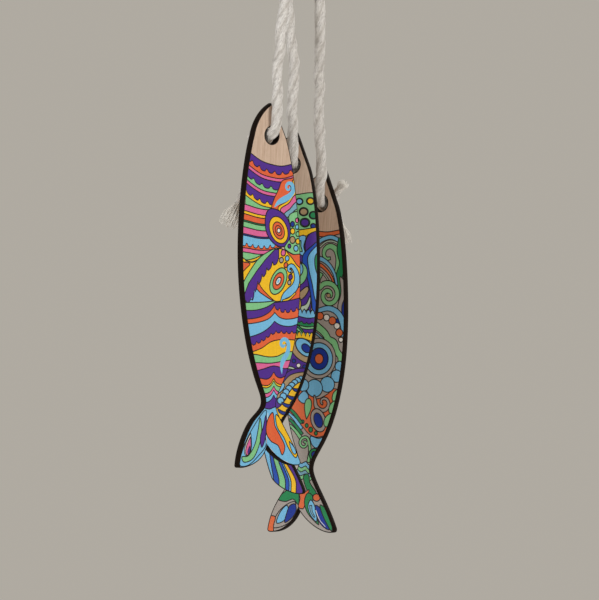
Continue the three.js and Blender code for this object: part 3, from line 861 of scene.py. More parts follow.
def paint_middle():
    s = Sketch()
    edge = [(-19, -15), (-12, -17.4), (-4, -18), (4, -17.2), (12, -15.6), (20, -15.4)]
    s.down_from(edge, "leaf", 40)
    for x, y, r, colour in ((6.2, -20.9, 2.1, "sky"), (12.8, -20.2, 2.3, "yellow"),
                            (9.2, -26.6, 2.7, "tan"), (15.2, -28.2, 2.5, "forest"),
                            (10.4, -32.8, 2.9, "purple"), (5.2, -31.6, 1.5, "sky"),
                            (-1.4, -21.6, 2.2, "tan"), (2.6, -26.4, 1.7, "yellow"),
                            (-7.6, -22.6, 2.6, "navy"), (-3.6, -28.6, 2.4, "sky"),
                            (-11.6, -28.8, 2.2, "yellow"), (-7.8, -33.4, 2.1, "purple"),
                            (2.2, -34.4, 1.4, "forest"), (15.6, -34.4, 1.6, "navy")):
        s.oval(x, y, r, r * 0.86, "forest" if r > 2.4 else "leaf", 0, 0.3)
        s.oval(x, y, r * 0.78, r * 0.66, colour, 0, 0.25)
    s.bands([(-21, -37), (-10, -38.4), (2, -38.2), (10, -36.8), (20, -34.6)],
            [(3.2, "yellow", 1.6, 12), (3.4, "ochre"), (4, "purple")], 1.0, 30)
    s.shape([(20, -37.6), (13.6, -39.4), (11.6, -45), (13.4, -52), (20, -57)], "purple")
    s.shape([(11.4, -40.6), (7, -41.4), (5.4, -46), (8.2, -50.6), (12.2, -52), (10.6, -46.4)],
            "sky")
    s.shape([(8.6, -43.4), (6.6, -45.6), (7.4, -49), (9.8, -49.4), (8.8, -46.4)], "leaf")
    s.shape([(-20, -42), (-13, -43.6), (-6, -42.6), (-1, -47), (-6, -53), (-14, -54), (-21, -50)],
            "sky")
    s.shape([(-20, -44.6), (-13, -46), (-7.4, -46.4), (-8.8, -51), (-14.6, -51.4), (-21, -48.4)],
            "yellow")
    # blue ribbons down the right
    s.shape([(22, -42), (14.6, -47), (10.6, -52), (11.2, -58), (14.6, -67), (17.4, -76),
             (19.6, -86), (23, -92)], "royal")
    s.shape([(22, -43.6), (16.4, -48), (13.8, -52.4), (14.8, -59), (17.6, -68), (19.8, -76),
             (23, -82)], "sky")
    s.shape([(22, -48.4), (18.6, -50.6), (18.2, -56), (20.4, -62), (23, -64)], "forest")
    s.shape([(-21, -54), (-12, -55.6), (-3, -54.4), (5.4, -52.6), (9.6, -56.4), (10.4, -64),
             (6, -70), (-4, -72), (-21, -68)], "purple")
    s.spiral(-2.4, -62.8, 6.4, 1.4, 70, 2.6, "leaf", (), 0.3, -1, 3.4)
    s.spiral(-14.4, -62, 4.6, 1.2, 100, 2.0, "yellow", (), 0.3, 1, 2.6)
    # a bulb with rings round it
    s.shape([(4, -56.6), (9, -55.2), (12.2, -60), (15.4, -69), (17.4, -78), (16.4, -86), (6, -88),
             (3, -72)], "purple")
    s.oval(8.6, -62.6, 5.2, 6.6, "leaf", 14)
    s.oval(7.2, -60.2, 3.9, 4.5, "sky", 14)
    s.oval(6.6, -59.6, 2.3, 2.7, "forest", 14)
    s.oval(6.6, -59.6, 0.9, 1.1, "navy", 0, 0.2)
    s.shape([(8.4, -76.4), (10.6, -72.6), (14.8, -69.4), (15.4, -70.8), (13.6, -74.8),
             (10.4, -77.4)], "tan")
    s.shape([(11.0, -81.6), (14.6, -79.6), (16.6, -75), (17, -78), (15.4, -82.4), (12.4, -84)],
            "pale")
    s.shape([(5.6, -71.6), (9.4, -74.4), (11.4, -79.4), (10.6, -84.6), (7.4, -88.4), (3, -88)],
            "ochre")
    s.shape([(-21, -69), (-10, -73), (2, -72.4), (9.4, -74), (8, -82), (-2, -85.4), (-21, -82)],
            "navy")
    s.shape([(-20, -72), (-11, -75.6), (-1, -74.8), (6.4, -77.4), (0, -80.4), (-10, -81),
             (-20, -78)], "sky")
    s.oval(-12.6, -77.8, 2.6, 1.9, "yellow", 0)
    s.oval(-4.4, -77.8, 2.3, 1.7, "orange", 0)
    # a little crown, then waves
    crown = [(9.4, -88), (9.6, -84.6)]
    for i in range(5):
        crown += [(10.6 + 2.5 * i, -83.2), (11.3 + 2.5 * i, -82.6), (12.0 + 2.5 * i, -83.4),
                  (12.5 + 2.5 * i, -85.0)]
    s.shape(crown + [(23, -89)], "sky", smooth=False)
    s.bands([(-22, -84.4), (-12, -87), (0, -87.8), (8, -86.6), (16, -87.6), (22, -86.6)],
            [(2.4, "purple", 1.7, 14), (2.6, "forest"), (1.4, "leaf"), (2.2, "purple"),
             (1.4, "sky"), (4, "navy")], 1.0)
    s.shape([(6.4, -91.6), (11.4, -92.6), (14.4, -96), (16, -100), (8, -100)], "forest")
    s.stroke([(7, -92.6), (11, -94.4), (13.4, -97.6)], "leaf", 0.8, 1.4, 0.3)
    teeth = []
    for i in range(18):
        x = -22 + 2.5 * i
        teeth += [(x, -98.4), (x + 0.5, -96.4), (x + 1.2, -95.6), (x + 1.9, -96.4)]
    s.down_from(teeth, "yellow", 30, 0.36, False)
    # beads on purple
    s.bands([(-19, -110), (-9, -111), (1, -110), (6, -106.6), (10, -107), (15, -110.6), (21, -111)],
            [(9.6, "purple"), (1.4, "pale"), (3, "purple")], 1.0, 30)
    s.beads([(9.6, -112.6, 1.0, "navy"), (12.6, -115.0, 1.1, "white"), (16.2, -115.4, 0.9, "navy"),
             (6.2, -113.0, 1.0, "tan"), (1.4, -114.6, 1.1, "white"), (-5, -115.4, 0.9, "sky"),
             (-10.6, -114.4, 1.1, "tan")], 1, 0.25)
    # an oval eye in tan and blue
    s.shape([(7.8, -101.4), (10.8, -99.6), (16, -99.8), (22, -103), (22, -113), (16.4, -112.8),
             (10.6, -109.8), (7.4, -105.6)], "tan")
    s.oval(15.6, -104.4, 4.0, 6.4, "sky", -52, 0.44)
    s.oval(16.4, -104.8, 2.0, 2.9, "navy", -52, 0.36)
    s.shape([(-18, -101), (-8, -100.4), (1, -101), (4.4, -105), (0, -109.4), (-15, -109)], "orange")
    s.oval(-5.6, -105.0, 5.4, 3.0, "leaf", 8)
    s.oval(-5.2, -105.0, 2.4, 1.5, "purple", 8)
    s.shape([(-1, -131), (3.4, -122.4), (8.6, -118), (18, -116.6), (18.4, -118.6), (11, -119.4),
             (6.6, -123.2), (2.6, -131)], "purple")
    s.shape([(0.6, -133.6), (4.6, -125), (8.8, -120.6), (18.2, -119), (18.4, -122.4), (11, -123.4),
             (7.4, -127.6), (3.6, -136)], "tan")
    s.shape([(-17, -123), (-8, -125.6), (0, -125), (5, -126.6), (2, -131.6), (-8, -132.8),
             (-15.6, -130)], "sky")
    s.shape([(-14.6, -125.6), (-8, -128), (-0.6, -127.2), (-3.4, -130.6), (-10, -131)], "orange")
    for i in range(9):
        t = i / 8
        s.oval(17.0 - 13.8 * t**0.85, -122.4 - 13.6 * t**1.6, 1.85, 1.85, "sky", 0, 0.38)
    # yellow with dark crescents down to the waist
    s.shape([(19, -123.6), (13.4, -125), (9, -129.6), (5.8, -136), (1.4, -140.6), (-4, -139),
             (-8, -134), (-12, -136), (-6, -150), (-5, -157), (4, -155), (10, -146), (16, -134)],
            "yellow")
    for x, y, a in ((13.6, -128.2, 20), (10.6, -133.0, 10), (7.8, -137.6, 5), (5.6, -142.0, 0),
                    (3.4, -146.4, -5), (0.6, -150.6, -10), (-3.4, -141.4, 15), (-6.6, -136.4, 20),
                    (-2.8, -146.4, 5)):
        c, d = math.cos(math.radians(a)), math.sin(math.radians(a))
        moon = [(-3.6, 1.0), (-2.4, -0.9), (0.2, -1.9), (2.8, -1.0), (3.8, 1.2), (2.6, 1.9),
                (1.6, 0.7), (2.0, 0.0), (0.6, -0.4), (-1.6, 0.2)]
        s.shape([(x + p * c - q * d, y + p * d + q * c) for p, q in moon], "navy")
    # tail: long stripes that fan out to the right
    stripes = [("sky", -12, -9.4), ("royal", -3.2, 3.0), ("leaf", -2.2, 6.2), ("royal", -0.5, 10.0),
               ("sky", 0.5, 12.2), ("yellow", 1.2, 13.4), ("purple", 2.2, 16.4),
               ("navy", 3.4, 23.0)]
    s.down_from([(-8, -152), (0, -153.4), (8, -152)], "sky", 45)
    for colour, top, low in stripes:
        s.shape([(top - 1, -151), (top + 0.6, -158.6), (top * 0.5 + low * 0.5, -171),
                 (low - 0.6, -181), (low + 1.4, -192), (28, -192), (28, -151)], colour)
    return s


# The rear fish: greens, greys and blues, spirals, beads and one big round eye.

def paint_rear():
    s = Sketch()
    s.down_from([(-20, -13), (-10, -16), (0, -16.6), (6, -16.6), (12, -15.4), (17, -14.2)], "rust",
                60)
    s.down_from([(-20, -16.4), (-10, -19.2), (0, -19.6), (7, -19.2), (13, -17.6), (18, -16)],
                "grey", 80)
    s.lay([(-30, -60), (30, -60), (30, -200), (-30, -200)], "grey")
    s.stroke([(-18, -20.8), (-9, -22.4), (-1, -23.4), (3.4, -20.8), (8.6, -19.4), (13.6, -20.8),
              (18.6, -24)], "sky", 2.2, 2.2, 0.34)
    s.stroke([(1.4, -25.6), (5, -22.6), (9, -21.6), (13.4, -22.8), (17.6, -25.6)], "pale", 0.9, 0.9,
             0.3)
    s.stroke([(-18, -23.4), (-9, -25.4), (-1, -24.6)], "forest", 1.6, 2.0, 0.3)
    s.stroke([(8.8, -31.6), (6.2, -31.9), (4.5, -29.8), (5.0, -26.6), (8.2, -24.6), (12.2, -26.2),
              (14.6, -31), (15.0, -36.4), (14.2, -42)], "leaf", 1.4, 5.2, 0.36)
    s.spiral(-8.4, -31.0, 4.8, 1.3, 110, 2.6, "leaf", (), 0.34, 1, 3.4)
    s.stroke([(15.4, -19.6), (15.0, -27), (17.2, -34), (15.4, -42), (16.4, -50), (19.6, -58)],
             "forest", 3.4, 4.6, 0.34)
    s.stroke([(-16, -24), (-17.4, -34), (-16.6, -46)], "navy", 2.6, 3.2, 0.3)
    # blue and rust ribbons that run down to the right
    s.stroke([(-14, -35.4), (-4, -33.2), (2, -32.2), (8.0, -35.2), (12.2, -40.6), (14.2, -47)],
             "sky", 3.4, 1.2, 0.34)
    s.stroke([(-13, -38.8), (-4, -36.6), (1.6, -35.6), (6.8, -38.6), (10.6, -42.8), (13.2, -48.6)],
             "rust", 2.6, 0.8, 0.34)
    s.stroke([(-12, -41.4), (-4, -39.4), (1.0, -38.8), (5.4, -41.2), (8.4, -44.4)], "pale", 1.2,
             0.7, 0.3)
    # the big green spiral
    s.shape([(16.2, -42), (20, -46), (21.6, -60), (19.6, -66), (15.8, -60), (17.4, -51)], "grey")
    s.spiral(9.0, -53.0, 7.6, 1.5, 150, 4.2, "leaf", ((1.4, -44.6), (3.2, -40.4)), 0.38, 1, 3.0)
    s.oval(9.1, -53.2, 1.2, 1.1, "tan", 0, 0.25)
    s.shape([(21.4, -52), (18.6, -58), (18.2, -64.6), (13.2, -68), (19.8, -70.4), (22, -66)],
            "navy")
    s.spiral(-9.6, -50.6, 6.4, 1.4, 60, 3.2, "sky", (), 0.34, -1, 3.0)
    s.oval(-9.6, -50.6, 1.3, 1.3, "orange", 0, 0.25)
    # beads along a pale arc
    s.stroke([(2.6, -62.4), (9.6, -60.6), (15.6, -62.6), (19.6, -68.4), (21.4, -76)], "sky", 2.4,
             4.2, 0.34)
    s.beads([(4.2, -65.4, 2.2, "rust"), (8.6, -66.0, 1.9, "white"), (12.6, -67.6, 2.3, "rust"),
             (15.8, -70.4, 1.8, "white"), (17.6, -74.2, 2.2, "rust"), (18.9, -78.2, 1.4, "white"),
             (0.2, -66.6, 1.7, "white"), (-3.6, -68.4, 2.1, "rust"), (-8.2, -69.0, 1.7, "white"),
             (-12.6, -68.4, 2.1, "rust")], 0.95, 0.34)
    # wavy green ribbons
    wave = [(-18, -71.6), (-11, -74.2), (-4, -73.4), (0.6, -70.8), (4.4, -72.6), (8, -75.2),
            (10.8, -78.6), (14.4, -80), (16.6, -84.8), (19.4, -88.4), (19.2, -96)]
    s.stroke(wave, "leaf", 4.4, 3.4, 0.36)
    s.stroke([(x - 0.6, y - 4.0) for x, y in wave[:7]], "sea", 1.6, 0.8, 0.3)
    s.stroke([(-18, -79.4), (-11, -82), (-4.6, -82.6)], "forest", 2.6, 1.6, 0.3)
    # the round eye
    s.oval(4.6, -90.0, 11.6, 11.6, "grey", 0, 0.3)
    s.oval(4.9, -90.2, 9.2, 9.2, "sky", 0, 0.4)
    s.oval(5.1, -90.2, 6.0, 6.2, "navy", 0, 0.4)
    s.oval(5.1, -90.2, 2.7, 2.8, "rust", 0, 0.34)
    s.shape([(-20, -84), (-13, -85.4), (-8.6, -90), (-9, -97.6), (-16, -100), (-21, -96)], "leaf")
    s.spiral(-14, -92, 3.6, 1.2, 20, 1.8, "forest", (), 0.3, 1, 2.0)
    # the bead chain round the orange ground
    s.down_from([(-18, -103), (-8, -106), (0, -111), (5, -113.6), (12, -110.4), (16, -107),
                 (22, -108)], "rust", 60)
    for x, y, r in ((19.2, -93.6, 3.0), (17.4, -99.4, 3.6), (11.6, -104.6, 4.6), (3.2, -107.4, 5.2),
                    (-4.4, -106.2, 3.6), (-10.4, -103.6, 4.0), (-16.4, -101.4, 2.8)):
        s.oval(x, y, r, r * 0.96, "sky", 0, 0.36)
    s.shape([(-3.6, -109.6), (-0.6, -112.4), (-3.2, -116.6), (-7.4, -114)], "sky")
    s.spiral(9.6, -115.4, 5.6, 1.2, 170, 1.7, "grey", ((3.4, -111.6),), 0.36, -1, 0.5, 2.4)
    s.drop(-0.6, -119.6, 5.0, 11.8, "leaf", 184, 0.36)
    s.oval(6.9, -125.8, 4.7, 6.8, "grey", -24, 0.4)
    s.oval(6.9, -125.8, 2.6, 4.3, "navy", -24, 0.34)
    for x, y in ((18.0, -110.6), (16.2, -117.6), (13.4, -125.4)):
        s.oval(x, y, 2.3, 3.9, "leaf", 24, 0.34, 0.5)
    s.beads([(-0.6, -129.4, 0.9, "forest"), (2.2, -131.6, 1.2, "forest"),
             (5.8, -133.4, 0.9, "forest"), (-3.4, -127.4, 0.8, "forest")], 1.15, 0.34)
    # leaves, a spiral and a dark spot above the waist
    s.down_from([(-14, -124), (-8, -126.6), (-3.4, -130.4), (1, -134.2), (6, -135.8), (12, -134.2),
                 (16, -131)], "grey", 80)
    for i in range(4):
        s.stroke([(-13.6 + 0.6 * i, -119.8 - 3.4 * i), (-9 + 0.5 * i, -123.2 - 3.4 * i),
                  (-4.4 + 0.4 * i, -128.4 - 3.2 * i)], ("forest", "sky", "forest", "leaf")[i], 1.2,
                 2.2, 0.3)
    s.shape([(2.4, -135.6), (7.6, -136.4), (12.6, -135), (9.4, -139.4), (6.4, -141.8), (3.6, -140)],
            "sky")
    s.spiral(-1.6, -139.8, 3.7, 1.2, 60, 2.0, "leaf", ((2.4, -143.4), (1.8, -150.6)), 0.36, -1, 1.7)
    s.oval(5.6, -145.8, 3.5, 3.4, "forest", 0, 0.36)
    s.oval(5.6, -145.8, 1.9, 1.8, "navy", 0, 0.3)
    chevron = [(-6, -149.6), (-2.6, -151.8), (0, -150.4), (2.4, -152.2), (6, -150)]
    for drop, colour in ((0, "sky"), (2.6, "leaf"), (5.0, "sea"), (7.2, "leaf"), (9.6, "grey")):
        s.down_from([(x, y - drop) for x, y in chevron], colour, 50)
    s.lay([(-30, -163), (30, -163), (30, -200), (-30, -200)], "grey")
    # tail: leaves and petals on grey
    s.shape([(-0.6, -158.6), (2.0, -157.6), (3.6, -162.4), (8.4, -168.6), (5.2, -169.4),
             (1.4, -165.6)], "forest")
    s.shape([(-3.6, -166.6), (0, -168.4), (3.2, -166.6), (1.6, -171.6), (0, -177.6), (-3, -177),
             (-2.2, -172)], "rust")
    s.shape([(-4.4, -160), (-10, -166.6), (-17, -173.4), (-12, -174.4), (-6.8, -172.6),
             (-3.4, -175.4), (-3.4, -169)], "forest")
    s.shape([(-5.6, -174.4), (-11.4, -176.6), (-17.4, -183), (-19.4, -190), (-12.4, -188.6),
             (-6.2, -183.4)], "grey")
    s.shape([(-10.8, -176.8), (-15.2, -181.4), (-17, -187.4), (-12.6, -185.8), (-9.8, -181.4)],
            "sky")
    s.shape([(-5.6, -175.6), (-8.8, -176.8), (-10.6, -181.4), (-11.6, -186.6), (-7.4, -183.8),
             (-4.6, -179.2)], "navy")
    s.shape([(-18.4, -184), (-24, -185), (-25, -195), (-19.4, -194), (-19.2, -189)], "rust")
    s.shape([(2.6, -168.6), (0.8, -173.4), (3.0, -179.4), (8.6, -184.6), (11, -186), (8.8, -181),
             (6.4, -174.6), (5.4, -169.4)], "forest")
    s.shape([(4.8, -172.4), (3.4, -176.2), (5.4, -181), (9.4, -184.4), (8.8, -179.4), (7, -174.4)],
            "sky")
    s.stroke([(5.0, -175.6), (5.8, -179), (8.0, -182)], "sea", 1.3, 0.5, 0.2)
    s.oval(8.6, -170.6, 2.3, 2.0, "rust", 0, 0.36)
    s.shape([(8.4, -175.2), (11.4, -176.6), (14.6, -182), (18.2, -188.4), (13.2, -186.2),
             (9.2, -180.4)], "navy")
    s.shape([(11.4, -174.8), (14.8, -176.4), (19.6, -184.6), (19.8, -189), (16, -184.4),
             (12.6, -178.6)], "forest")
    s.stroke([(8.6, -178), (11.6, -183.4), (15.6, -187)], "white", 0.5, 0.3)
    return s


PAINTERS = {"front": paint_front, "middle": paint_middle, "rear": paint_rear}


def fish_board(name, fish):
    outline = fish_outline(fish["tail"])
    sketch = PAINTERS[name]()
    burnt = len(sketch.outlines)
    outer, inner = grown(outline, BURN_EDGE), grown(outline, -BURN_FACE)
    strips = [[outer[i - 1], outer[i], inner[i], inner[i - 1]] for i in range(len(outline))]
    outlines = sketch.outlines + strips + [ring(EYE + BURN_EYE, HOLE_SIDES)]

    def paint_of(within):
        top = max(within, default=-1)
        if top >= burnt:
            return COLOURS["char"], 0.0
        if top < 0:
            return COLOURS["tan"], 1.0
        return COLOURS[sketch.colours[top]], 0.0

    ob = slab(f"{name}_painted_board", outline, [ring(EYE, HOLE_SIDES)], BOARD, EASED,
              board_frame(fish), outlines, paint_of, [PAINTED, RIM, BACK])
    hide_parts(f"{name}_fish_board")
    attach(ob, f"{name}_fish")


# ---------------------------------------------------------------- rope

class Cotton:
    """A mesh of laid strands and loose fibres while it is put together: its points and faces, the
    place of each point along and across its yarn, and how deep it lies in a groove between two
    strands (below 0 on a loose fibre), which the cotton material darkens into painted shade."""

    STRANDS = 3
    SIDES = 20  # points round each strand

    def __init__(self):
        self.verts, self.faces, self.yarn, self.groove = [], [], [], []

    def strands(self, points, radius, phase, seed, lay=LAY, first=1.0, last=1.0):
        """Adds three strands laid round a line, and returns the line with even points.
        first and last are how thick it is at its two ends, beside radius."""
        line = even(points, 0.45)
        end = len(line) - 1
        spacing = length_of(line) / end
        around = self.SIDES * self.STRANDS
        centre, thick = 0.23 * radius, 0.79 * radius  # of a strand: how far out it lies, its radius
        base = len(self.verts)
        for i, (p, t, n, b) in enumerate(frames_along(line)):
            f = i / end
            swell = first + (last - first) * f
            s = i * spacing
            turn = 2 * math.pi * s / lay + phase + 0.5 * noise.noise(Vector((s * 0.07, seed, 9)))
            # the line wanders, the rope's thickness and each strand's vary, and yarns ridge them
            wobble = noise.noise_vector(Vector((s * 0.11, seed * 7.3, 1.7)))
            p = p + (n * wobble.x + b * wobble.y) * 0.30 * radius * min(1, 6 * f, 6 * (1 - f))
            fat = 1 + 0.12 * noise.noise(Vector((s * 0.13, seed * 3.1, 0)))
            for k in range(self.STRANDS):
                own = 1 + 0.09 * noise.noise(Vector((s * 0.16, k * 5.7 + seed, 4)))
                drift = 2.5 * noise.noise(Vector((s * 0.12, k * 3.3, seed)))
                for j in range(self.SIDES):
                    across = 2 * (j + 0.5) / self.SIDES - 1  # -1 to 1 over the strand
                    d = math.radians(60 * across)
                    sin = centre * math.sin(d)
                    r = centre * math.cos(d) + math.sqrt(max(thick**2 - sin**2, 0.04 * thick**2))
                    rough = 0.05 * radius * noise.noise(Vector((s * 0.5, k * 9 + j * 0.6, seed)))
                    yarns = 0.032 * radius * math.cos(2 * math.pi * (j / 4 - s / 16) + drift)
                    r = (r * own * fat + rough + yarns) * swell
                    a = turn + 2 * math.pi * k / self.STRANDS + d
                    self.verts.append(p + (n * math.cos(a) + b * math.sin(a)) * r)
                    self.yarn.append((k * 20 + j * 0.31 - s * 0.03, s))
                    self.groove.append(max(0.0, abs(across) - 0.45) / 0.55)
        self.faces += tube(end + 1, around, base)
        for at, way in ((0, -1), (end, 1)):
            tip = len(self.verts)
            self.verts.append(line[at])
            self.yarn.append((0.0, at * spacing))
            # the middle of each cut end gets painted shade as well
            self.groove.append(0.6)
            start = base + at * around
            self.faces += [(tip, start + j, start + (j + 1) % around)[::way]
                           for j in range(around)]
        return line

    def thread(self, points, radius):
        """Adds one fine four-sided fibre along a line, half as thick at its end."""
        base = len(self.verts)
        length = 0.0
        for i, (p, t, n, b) in enumerate(frames_along(points)):
            if i:
                length += (points[i] - points[i - 1]).length
            r = radius * (1 - 0.5 * i / (len(points) - 1))
            for j in range(4):
                a = math.pi / 2 * j
                self.verts.append(p + (n * math.cos(a) + b * math.sin(a)) * r)
                self.yarn.append((j * 0.25 + radius * 3, length))
                self.groove.append(-1.0)
        self.faces += closed_tube(len(points), 4, base)

    def fuzz(self, line, radius, count, seed):
        """Adds loose fibres that stand off the rope."""
        rnd = random.Random(seed)
        rows = frames_along(line)
        for _ in range(count):
            p, t, n, b = rows[rnd.randrange(2, len(rows) - 2)]
            a = rnd.uniform(0, 2 * math.pi)
            out = n * math.cos(a) + b * math.sin(a)
            along = t * rnd.choice((-1, 1))
            aside = out.cross(t)
            reach = rnd.uniform(0.5, 1.5)
            start = p + out * radius * 0.80
            points = [
                start, start + out * 0.35 * reach + along * 0.5 * reach,
                start + out * 0.60 * reach + along * 1.3 * reach + aside * rnd.uniform(-0.4, 0.4),
                start + out * 0.45 * reach + along * 2.2 * reach + aside * rnd.uniform(-0.9, 0.9)]
            self.thread(points, rnd.uniform(0.022, 0.04))

    def done(self, name):
        """The object, with its fibres in a material of their own."""
        ob = mesh_object(name, self.verts, self.faces, [COTTON, FRAY],
                         [int(self.groove[face[0]] < 0) for face in self.faces])
        layer = ob.data.uv_layers.new(name="yarn")
        layer.data.foreach_set("uv", [x for face in self.faces for i in face
                                      for x in self.yarn[i]])
        # groove depth, darkened into painted shade by the cotton material
        groove = ob.data.attributes.new("groove", "FLOAT", "POINT")
        groove.data.foreach_set("value", [max(0.0, depth) for depth in self.groove])
        return ob


def trefoil(across, height, n=150):
    """The line of an overhand knot drawn tight, closed on itself, about +Z."""
    out = []
    for i in range(n + 1):
        t = 2 * math.pi * i / n
        out.append(Vector(((math.sin(t) + 2 * math.sin(2 * t)) / 3 * across,
                           (math.cos(t) - 2 * math.cos(2 * t)) / 3 * across,
                           -math.sin(3 * t) * height)))
    return out


def frayed_end(name, place, route, start, end, fan, seed):
    """A loose end along route: laid strands as thick as start, then their yarns combed out into
    a fan of fibres that is fan long and opens to end. start and end are radii."""
    rnd = random.Random(seed)
    line = catmull([place @ Vector(p) for p in route], False, 0.6)
    cotton = Cotton()
    cotton.strands(line, 0.94 * start, 0.4 * seed, seed, last=0.94)
    tip, direction = line[-1], (line[-1] - line[-2]).normalized()
    side = direction.orthogonal().normalized()
    other = direction.cross(side)
    deep = min(4, 1 + max(0.0, length_of(line) - 4))
    for _ in range(LOOSE_FIBRES):
        a = rnd.uniform(0, 2 * math.pi)
        m = math.sqrt(rnd.random())
        spread = rnd.uniform(0.8, 1.0) * end * m
        root = tip - direction * rnd.uniform(0.4, deep)
        out = side * math.cos(a) + other * math.sin(a)
        curl = (side * rnd.uniform(-1, 1) + other * rnd.uniform(-1, 1)) * 0.10 * fan
        reach = fan * rnd.uniform(0.62, 0.97)
        points = [root + out * 0.75 * start * m, tip + out * 0.82 * start * m,
                  tip + out * (0.8 * start * m + (spread - 0.8 * start * m) * 0.45)
                  + direction * 0.38 * reach + curl * 0.5,
                  tip + out * spread * 0.96 + direction * 0.72 * reach + curl * 0.9,
                  tip + out * spread + direction * reach + curl * 0.5]
        cotton.thread(catmull(points, False, 1.3), rnd.choice((0.12, 0.16, 0.20, 0.28)))
    return cotton.done(name)


def hang(name, fish, seed):
    """One fish's rope, its knot behind the board and its loose ends."""
    place = board_frame(fish)
    rope = [Vector(p) for p in fish["rope"]]
    top = rope[0] + Vector((0, 0, 5.2))  # inside the gathered knot
    into = [(-0.2, 0.1, -4.2), (-0.4, -0.1, -5.8)]  # the stopper knot, behind the board
    turn = [place @ Vector(p) for p in fish["turn"][1:] + into]
    cotton = Cotton()
    line = cotton.strands(catmull([top] + rope + turn, False, 0.5), ROPE, 1.3 * seed, seed)
    cotton.fuzz(line, ROPE, 260, seed)
    cord = cotton.done(f"{name}_cord")

    knot_place = (place @ Matrix.Translation((0, 0, -BOARD / 2 - 0.6 - 5.5))
                  @ Matrix.Rotation(math.radians(60), 4, "Z"))
    cotton = Cotton()
    knot_line = cotton.strands([knot_place @ p for p in trefoil(5.0, 2.55)], TIGHT, 0.8 * seed,
                               seed + 5)
    cotton.fuzz(knot_line, TIGHT, 60, seed + 40)
    core = [knot_place @ Vector(p) for p in ((0.2, 0, 4.7), (0, 0.2, 0), (0, 0, -4.4))]
    cotton.strands(catmull(core, False, 0.5), 4.6, 0, seed + 9)
    knot = cotton.done(f"{name}_tied_knot")
    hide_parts(f"{name}_stopper_knot")
    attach(knot, f"{name}_knot")

    for i, (kind, route, start, end, fan) in enumerate(fish["loose"]):
        x, y, z = route[0]
        ob = frayed_end(f"{name}_{kind}_fibres", place, [(x * 0.35, y * 0.35, z)] + route, start,
                        end, fan, seed * 10 + i)
        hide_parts(f"{name}_{kind}")
        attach(ob, f"{name}_knot")

    x, y = rope[-1].x, rope[-1].y
    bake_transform(cord)
    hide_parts(f"{name}_rope", f"{name}_rope_turn")


for number, (fish_name, fish_data) in enumerate(FISH.items(), 1):
    fish_board(fish_name, fish_data)
    hang(fish_name, fish_data, number)


# ---------------------------------------------------------------- the loop and its knot

side = [(4.7, -14.1), (4.8, -12), (6.2, -7.5), (7.2, -2), (6.6, 2.8), (4.1, 6.1)]
loop_line = [Vector((x, LOOP_Y, z)) for x, z in
             [(-4, -20)] + [(-x, z) for x, z in side] + [(0, 7.3)] + side[::-1] + [(4, -20)]]
cotton = Cotton()
line = cotton.strands(catmull(loop_line, False, 0.5), 0.96 * ROPE, 0.6, 31)
cotton.fuzz(line, ROPE, 130, 31)
loop = cotton.done("hanging_loop_cord")

cotton = Cotton()
for k, (spin, height) in enumerate(((0, 2.3), (14, -2.9))):
    turned = Matrix.Translation((0, LOOP_Y, -24.7)) @ Matrix.Rotation(math.radians(spin), 4, "Z")
    path = [turned @ (p + Vector((0, 0, height))) for p in trefoil(9.2, 4.3, 220)]
    coil = cotton.strands(path, ROPE, 0.9 * k, 50 + k)
    cotton.fuzz(coil, ROPE, 90, 60 + k)
core = [Vector((0, LOOP_Y, -15.4)), Vector((0.4, LOOP_Y, -20)), Vector((-0.3, LOOP_Y + 0.3, -27)),
        Vector((0, LOOP_Y, -34.4))]
cotton.strands(catmull(core, False, 0.5), 5.4, 0.2, 57, 2 * LAY, 0.62)
knot = cotton.done("gathered_knot")
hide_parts("gather_knot")
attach(knot, "loop")
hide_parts("hanging_loop")
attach(loop, "loop")


# ---------------------------------------------------------------- the wall hook

def lathe(profile, segments, place):
    """Verts and faces of a turned shape from (radius, height) pairs, closed at both ends."""
    verts = [place @ Vector((x, y, h)) for r, h in profile for x, y in ring(r, segments)]
    return verts, closed_tube(len(profile), segments)


def rod(points, radius, segments=28):
    """Verts and faces of a round rod along a line, closed at both ends."""
    verts = [p + (n * x + b * y) * radius for p, t, n, b in frames_along(points)
             for x, y in ring(1, segments)]
    return verts, closed_tube(len(points), segments)


def joined(name, parts, mat, slot, body, *nodes):
    """One object from several (verts, faces)."""
    verts, faces = [], []
    for v, f in parts:
        base = len(verts)
        verts += v
        faces += [tuple(base + i for i in face) for face in f]
    ob = mesh_object(name, verts, faces, [mat])
    ob.data.set_sharp_from_angle(angle=SHARP)
    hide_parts(*nodes)
    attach(ob, body)
    return ob


SHARP = math.radians(38)  # turns beyond this are hard edges
FORWARD = Matrix.Rotation(math.radians(90), 4, "X")  # a turned shape's +Z to the object's -Y
PLATE = 4  # thickness
ARM = 3.5  # radius
SCREW_Z = 20  # height of the upper screw; the lower one is as far below the middle
CORNER = 6  # radius of the plate's corners
BALL = 4.6  # radius of the arm's tip

plate_line = []
for cx, cy, a0 in ((6, 24, 0), (-6, 24, 90), (-6, -24, 180), (6, -24, 270)):
    for i in range(9):
        a = math.radians(a0 + 90 * i / 8)
        plate_line.append((cx + CORNER * math.cos(a), cy + CORNER * math.sin(a)))
screw_holes = [ring(2.4, 28, 0, z) for z in (SCREW_Z, -SCREW_Z)]
plate = slab("hook_back_plate", plate_line, screw_holes, PLATE, 0.7,
             Matrix.Translation((0, -PLATE / 2, 0)) @ FORWARD, [],
             lambda within: (COLOURS["ink"], 0.0), [STEEL, STEEL, STEEL])
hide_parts("hook_plate")
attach(plate, "hook")

